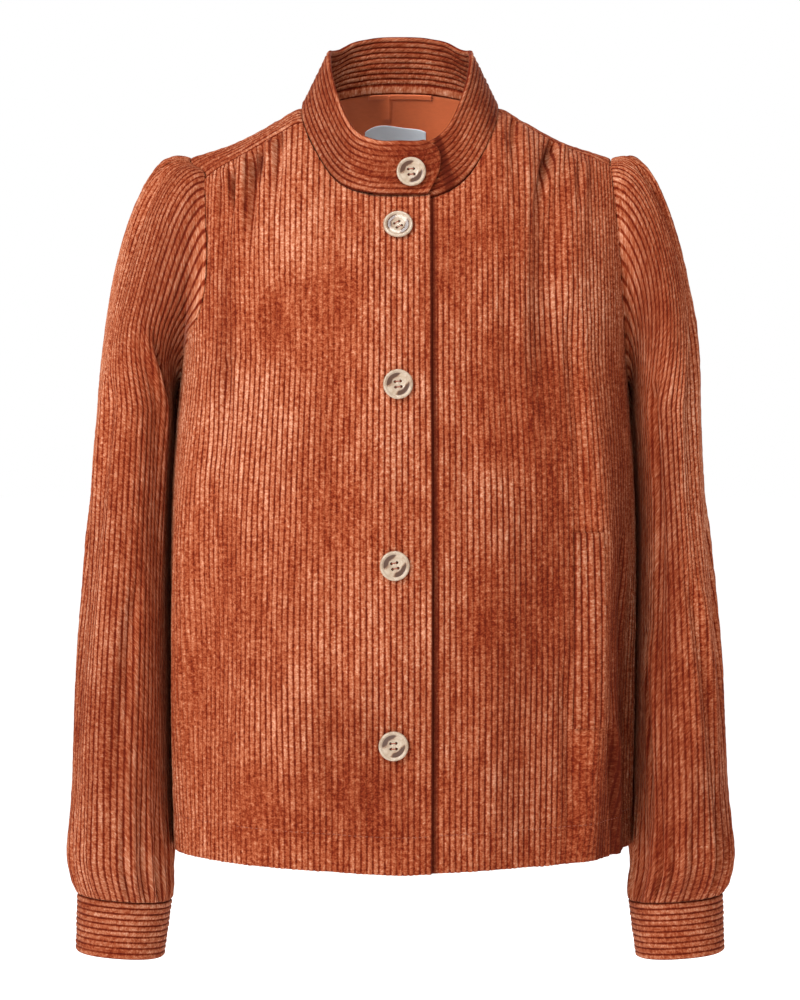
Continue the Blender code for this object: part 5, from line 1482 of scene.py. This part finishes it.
# ---------------------------------------------------------------- stitches
def stitch_nodes():
    """Nodes that set a slim rounded stitch on every point, along its stored direction."""
    tree = bpy.data.node_groups.new("stitches", "GeometryNodeTree")
    tree.interface.new_socket("Geometry", in_out="INPUT", socket_type="NodeSocketGeometry")
    sockets = {}
    for label in ("Length", "Thickness"):
        sockets[label] = tree.interface.new_socket(label, in_out="INPUT", socket_type="NodeSocketFloat").identifier
    tree.interface.new_socket("Geometry", in_out="OUTPUT", socket_type="NodeSocketGeometry")
    got, out = tree.nodes.new("NodeGroupInput"), tree.nodes.new("NodeGroupOutput")
    bead = add(tree, "GeometryNodeMeshUVSphere", {"Segments": 8, "Rings": 5, "Radius": 0.5}).outputs["Mesh"]
    length, thick = got.outputs["Length"], got.outputs["Thickness"]
    size = add(tree, "ShaderNodeCombineXYZ", {0: length, 1: thick, 2: thick})
    way = add(tree, "GeometryNodeInputNamedAttribute", {"Name": "along"}, data_type="FLOAT_VECTOR")
    along = way.outputs["Attribute"]
    turned = add(tree, "FunctionNodeAlignRotationToVector", {"Vector": along}, axis="X").outputs[0]
    inputs = {"Points": got.outputs["Geometry"], "Instance": bead, "Rotation": turned, "Scale": size.outputs[0]}
    spread = add(tree, "GeometryNodeInstanceOnPoints", inputs).outputs[0]
    real = add(tree, "GeometryNodeRealizeInstances", {"Geometry": spread}).outputs[0]
    smooth = add(tree, "GeometryNodeSetShadeSmooth", {"Geometry": real}).outputs[0]
    dressed = add(tree, "GeometryNodeSetMaterial", {"Geometry": smooth, "Material": THREAD_LOOK}).outputs[0]
    tree.links.new(dressed, out.inputs[0])
    return tree, sockets


STITCH_NODES, STITCH_SOCKETS = stitch_nodes()


def stitches(name, points, along, length, thickness):
    """A piece of real stitches at points, lying along directions."""
    mesh = bpy.data.meshes.new(name)
    mesh.from_pydata(np.asarray(points, float).tolist(), [], [])
    mesh.attributes.new("along", "FLOAT_VECTOR", "POINT").data.foreach_set("vector", np.asarray(along, float).ravel())
    carrier = put(f"{name}_points", mesh)
    spread = carrier.modifiers.new("stitches", "NODES")
    spread.node_group = STITCH_NODES
    spread[STITCH_SOCKETS["Length"]], spread[STITCH_SOCKETS["Thickness"]] = length, thickness
    bpy.context.view_layer.update()
    made = bpy.data.meshes.new_from_object(carrier.evaluated_get(bpy.context.evaluated_depsgraph_get()))
    bpy.data.objects.remove(carrier)
    piece = put(name, made)
    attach(piece, "root")
    return piece


def hem_stitches():
    points, along = [], []
    for face in FACES:
        arc = np.arange(-SIDE_ARC[RIGHT, face] + 0.003, SIDE_ARC[LEFT, face] - 0.002, STITCH_PITCH)
        arc = arc[np.abs(arc - OVERLAP) > 0.004] if face == "front" else arc
        lift = CLOTH / 2 + RIB_FULL * 0.35 + (np.where(arc < OVERLAP, overlap_lift(arc), 0) if face == "front" else 0)
        climb = hem_climb(face, arc) + HEM_DEPTH
        here, there = (body_cloth(face, arc + step, climb, lift) for step in (-0.0005, 0.0005))
        points.append((here + there) / 2)
        along.append(there - here)
    piece = stitches("hem_stitches", np.concatenate(points), np.concatenate(along), *HEM_STITCH)


# ---------------------------------------------------------------- buttons
BUTTON_OUTLINE = (  # radius and height, from the middle of the back round the rim to the dish
    (0.0000, 0.0000), (0.0085, 0.0000), (0.0100, 0.0003), (0.0112, 0.0010), (0.0117, 0.0018),
    (0.0116, 0.0026), (0.0111, 0.0032), (0.0104, 0.0034), (0.0098, 0.0032), (0.0094, 0.0027),
    (0.0090, 0.0024), (0.0078, 0.0023), (0.0060, 0.0024), (0.0050, 0.0022), (0.0044, 0.0019), (0.0000, 0.0018),
)
BUTTON_TURNS, HOLE_TURNS = 48, 20
THREAD_HEIGHT = 0.0018  # of the threads over a button's back


def button_mesh():
    """A four-hole button on its back, as points and faces, its holes cut through."""
    angles = np.linspace(0, 2 * math.pi, BUTTON_TURNS, endpoint=False)
    points = [(0.0, 0.0, BUTTON_OUTLINE[0][1])]
    for radius, height in BUTTON_OUTLINE[1:-1]:
        points += [(radius * math.cos(a), radius * math.sin(a), height) for a in angles]
    points.append((0.0, 0.0, BUTTON_OUTLINE[-1][1]))
    rings = len(BUTTON_OUTLINE) - 2
    faces = []
    for k in range(BUTTON_TURNS):
        n = (k + 1) % BUTTON_TURNS
        faces.append((0, 1 + n, 1 + k))
        for r in range(rings - 1):
            a, b = 1 + r * BUTTON_TURNS, 1 + (r + 1) * BUTTON_TURNS
            faces.append((a + k, a + n, b + n, b + k))
        last = 1 + (rings - 1) * BUTTON_TURNS
        faces.append((last + k, last + n, len(points) - 1))
    blank = finished("button_blank", points, faces, ())
    cutters = []
    for k in range(4):
        angle = math.pi / 4 + k * math.pi / 2
        spot = Vector((math.cos(angle), math.sin(angle), 0)) * BUTTON_HOLE_SPREAD
        bpy.ops.mesh.primitive_cylinder_add(vertices=HOLE_TURNS, radius=BUTTON_HOLE, depth=0.02, location=spot)
        cutters.append(bpy.context.object)
        cut = blank.modifiers.new(f"hole_{k}", "BOOLEAN")
        cut.operation, cut.object, cut.solver = "DIFFERENCE", cutters[-1], "EXACT"
    bpy.context.view_layer.update()
    mesh = bpy.data.meshes.new_from_object(blank.evaluated_get(bpy.context.evaluated_depsgraph_get()))
    for old in [blank, *cutters]:
        bpy.data.objects.remove(old)
    corners = np.array([mesh.vertices[loop.vertex_index].co[:2] for loop in mesh.loops]) / BUTTON_BACK
    mesh.uv_layers.new(name="face").data.foreach_set("uv", corners.astype(np.float32).ravel())
    return mesh


def placed(name, mesh, matrix, look):
    """A copy of a mesh as an object at the origin, its place in its mesh."""
    copy = mesh.copy()
    copy.transform(matrix)
    copy.materials.clear()
    copy.materials.append(look)
    copy.update()
    return put(name, copy)


def standing(place, normal, turn):
    axis = Vector(normal).to_track_quat("Z", "Y").to_matrix().to_4x4()
    return Matrix.Translation(Vector(place)) @ axis @ Matrix.Rotation(turn, 4, "Z")


def button_pieces():
    over_crest = CLOTH / 2 + RIB + SEAM_GAP
    mesh = button_mesh()

    def spot_on_front(arc, climb):
        arc = np.array([arc])
        return body_cloth("front", arc, np.array([climb]), over_crest + overlap_lift(arc))[0]

    spots = []
    for spot in BUTTONS:
        climb = float(climb_at_height("front", np.array([spot.arc]), np.array([spot.height]))[0])
        along = spot_on_front(spot.arc + BUTTON_BACK, climb) - spot_on_front(spot.arc - BUTTON_BACK, climb)
        up = spot_on_front(spot.arc, climb + BUTTON_BACK) - spot_on_front(spot.arc, climb - BUTTON_BACK)
        spots.append((spot.name, spot_on_front(spot.arc, climb), np.cross(along, up), spot.turn))
    arc, rise = np.array([COLLAR_BUTTON_ARC]), np.array([COLLAR_BUTTON_RISE])
    on_cloth, place = (lifted(collar_surface, arc, rise, lift)[0] for lift in (np.zeros(1), np.full(1, over_crest)))
    spots.append(("button_1", place, place - on_cloth, COLLAR_BUTTON_TURN))
    points, along = [], []
    reach = BUTTON_HOLE_SPREAD * math.sqrt(0.5)
    for name, place, normal, turn in spots:
        spot = standing(place, normal, turn)
        piece = placed(f"{name}_horn", mesh, spot, HORN_LOOK)
        piece.data.polygons.foreach_set("use_smooth", np.ones(len(piece.data.polygons), bool))
        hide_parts(name)
        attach(piece, "root")
        points += [spot @ Vector((0, way * reach, THREAD_HEIGHT)) for way in (-1, 1)]
        along += [spot.to_3x3() @ Vector((1, 0, 0))] * 2
    threads = stitches("button_threads", points, along, *BUTTON_STITCH)


# ---------------------------------------------------------------- camera, light and floor
FLOOR_HALF, FLOOR_HEIGHT = 40, -1.05
CAMERA_BACK = 2.6  # from the jacket's middle plane
CAMERA_HEIGHT, AIM_HEIGHT = -0.264, -0.31324
VIEW_HALF = 0.328  # half the width that the camera sees there
WHITE = (1, 1, 1)


def aimed(name, data, place, at):
    """A camera or lamp at a place, turned towards another."""
    made = put(name, data)
    made.location = place
    made.rotation_euler = (Vector(at) - made.location).to_track_quat("-Z", "Y").to_euler()
    return made


def studio():
    lens = bpy.data.cameras.new("camera")
    lens.sensor_fit = "HORIZONTAL"
    lens.angle = 2 * math.atan(VIEW_HALF / CAMERA_BACK)
    bpy.context.scene.camera = aimed("camera", lens, (0, -CAMERA_BACK, CAMERA_HEIGHT), (0, 0, AIM_HEIGHT))

    def lamp(name, place, size, power, at=(0, 0, -0.3)):
        data = bpy.data.lights.new(name, "AREA")
        data.shape, data.size, data.energy, data.color = "SQUARE", size, power, WHITE
        aimed(name, data, place, at)

    lamp("key", (-1.9, -2.3, 1.2), 1.3, 100)
    lamp("fill", (2.2, -1.6, 0.1), 1.6, 8)
    lamp("back", (0.4, 2.4, 1.4), 1.6, 30)
    lamp("neck", (-0.1, -1.3, 1.7), 0.5, 25, at=(0.0, 0.05, 0.0))

    corners = [(x * FLOOR_HALF, y * FLOOR_HALF, FLOOR_HEIGHT) for x, y in ((-1, -1), (1, -1), (1, 1), (-1, 1))]
    floor = finished("floor", corners, [(0, 1, 2, 3)], ())
    made, tree, shader = blank_material("pale_floor", roughness=0.9)
    place = add(tree, "ShaderNodeTexCoord").outputs["Object"]
    speck = add(tree, "ShaderNodeTexNoise", {"Vector": place, "Scale": 30.0}).outputs[0]
    pale = colours(tree, speck, ((0.3, 0.90, 0.90, 0.90), (0.7, 0.94, 0.94, 0.94)))
    tree.links.new(pale, shader.inputs["Base Color"])
    shader.inputs["Emission Color"].default_value = (*WHITE, 1)
    shader.inputs["Emission Strength"].default_value = 0.7
    floor.data.materials.append(made)

    world = bpy.data.worlds.new("studio")
    bpy.context.scene.world = world
    world.use_nodes = True
    tree = world.node_tree
    seen = add(tree, "ShaderNodeLightPath").outputs["Is Camera Ray"]
    background = tree.nodes["Background"]
    background.inputs[0].default_value = (*WHITE, 1)
    tree.links.new(span(tree, seen, 0, 1, 0.38, 1.0), background.inputs[1])
    bpy.context.scene.view_settings.view_transform = "Standard"


body_pieces()
yoke_pieces()
sleeve_pieces()
cuff_pieces()
collar_piece()
pocket_piece()
neck_inside()
hem_stitches()
button_pieces()
studio()
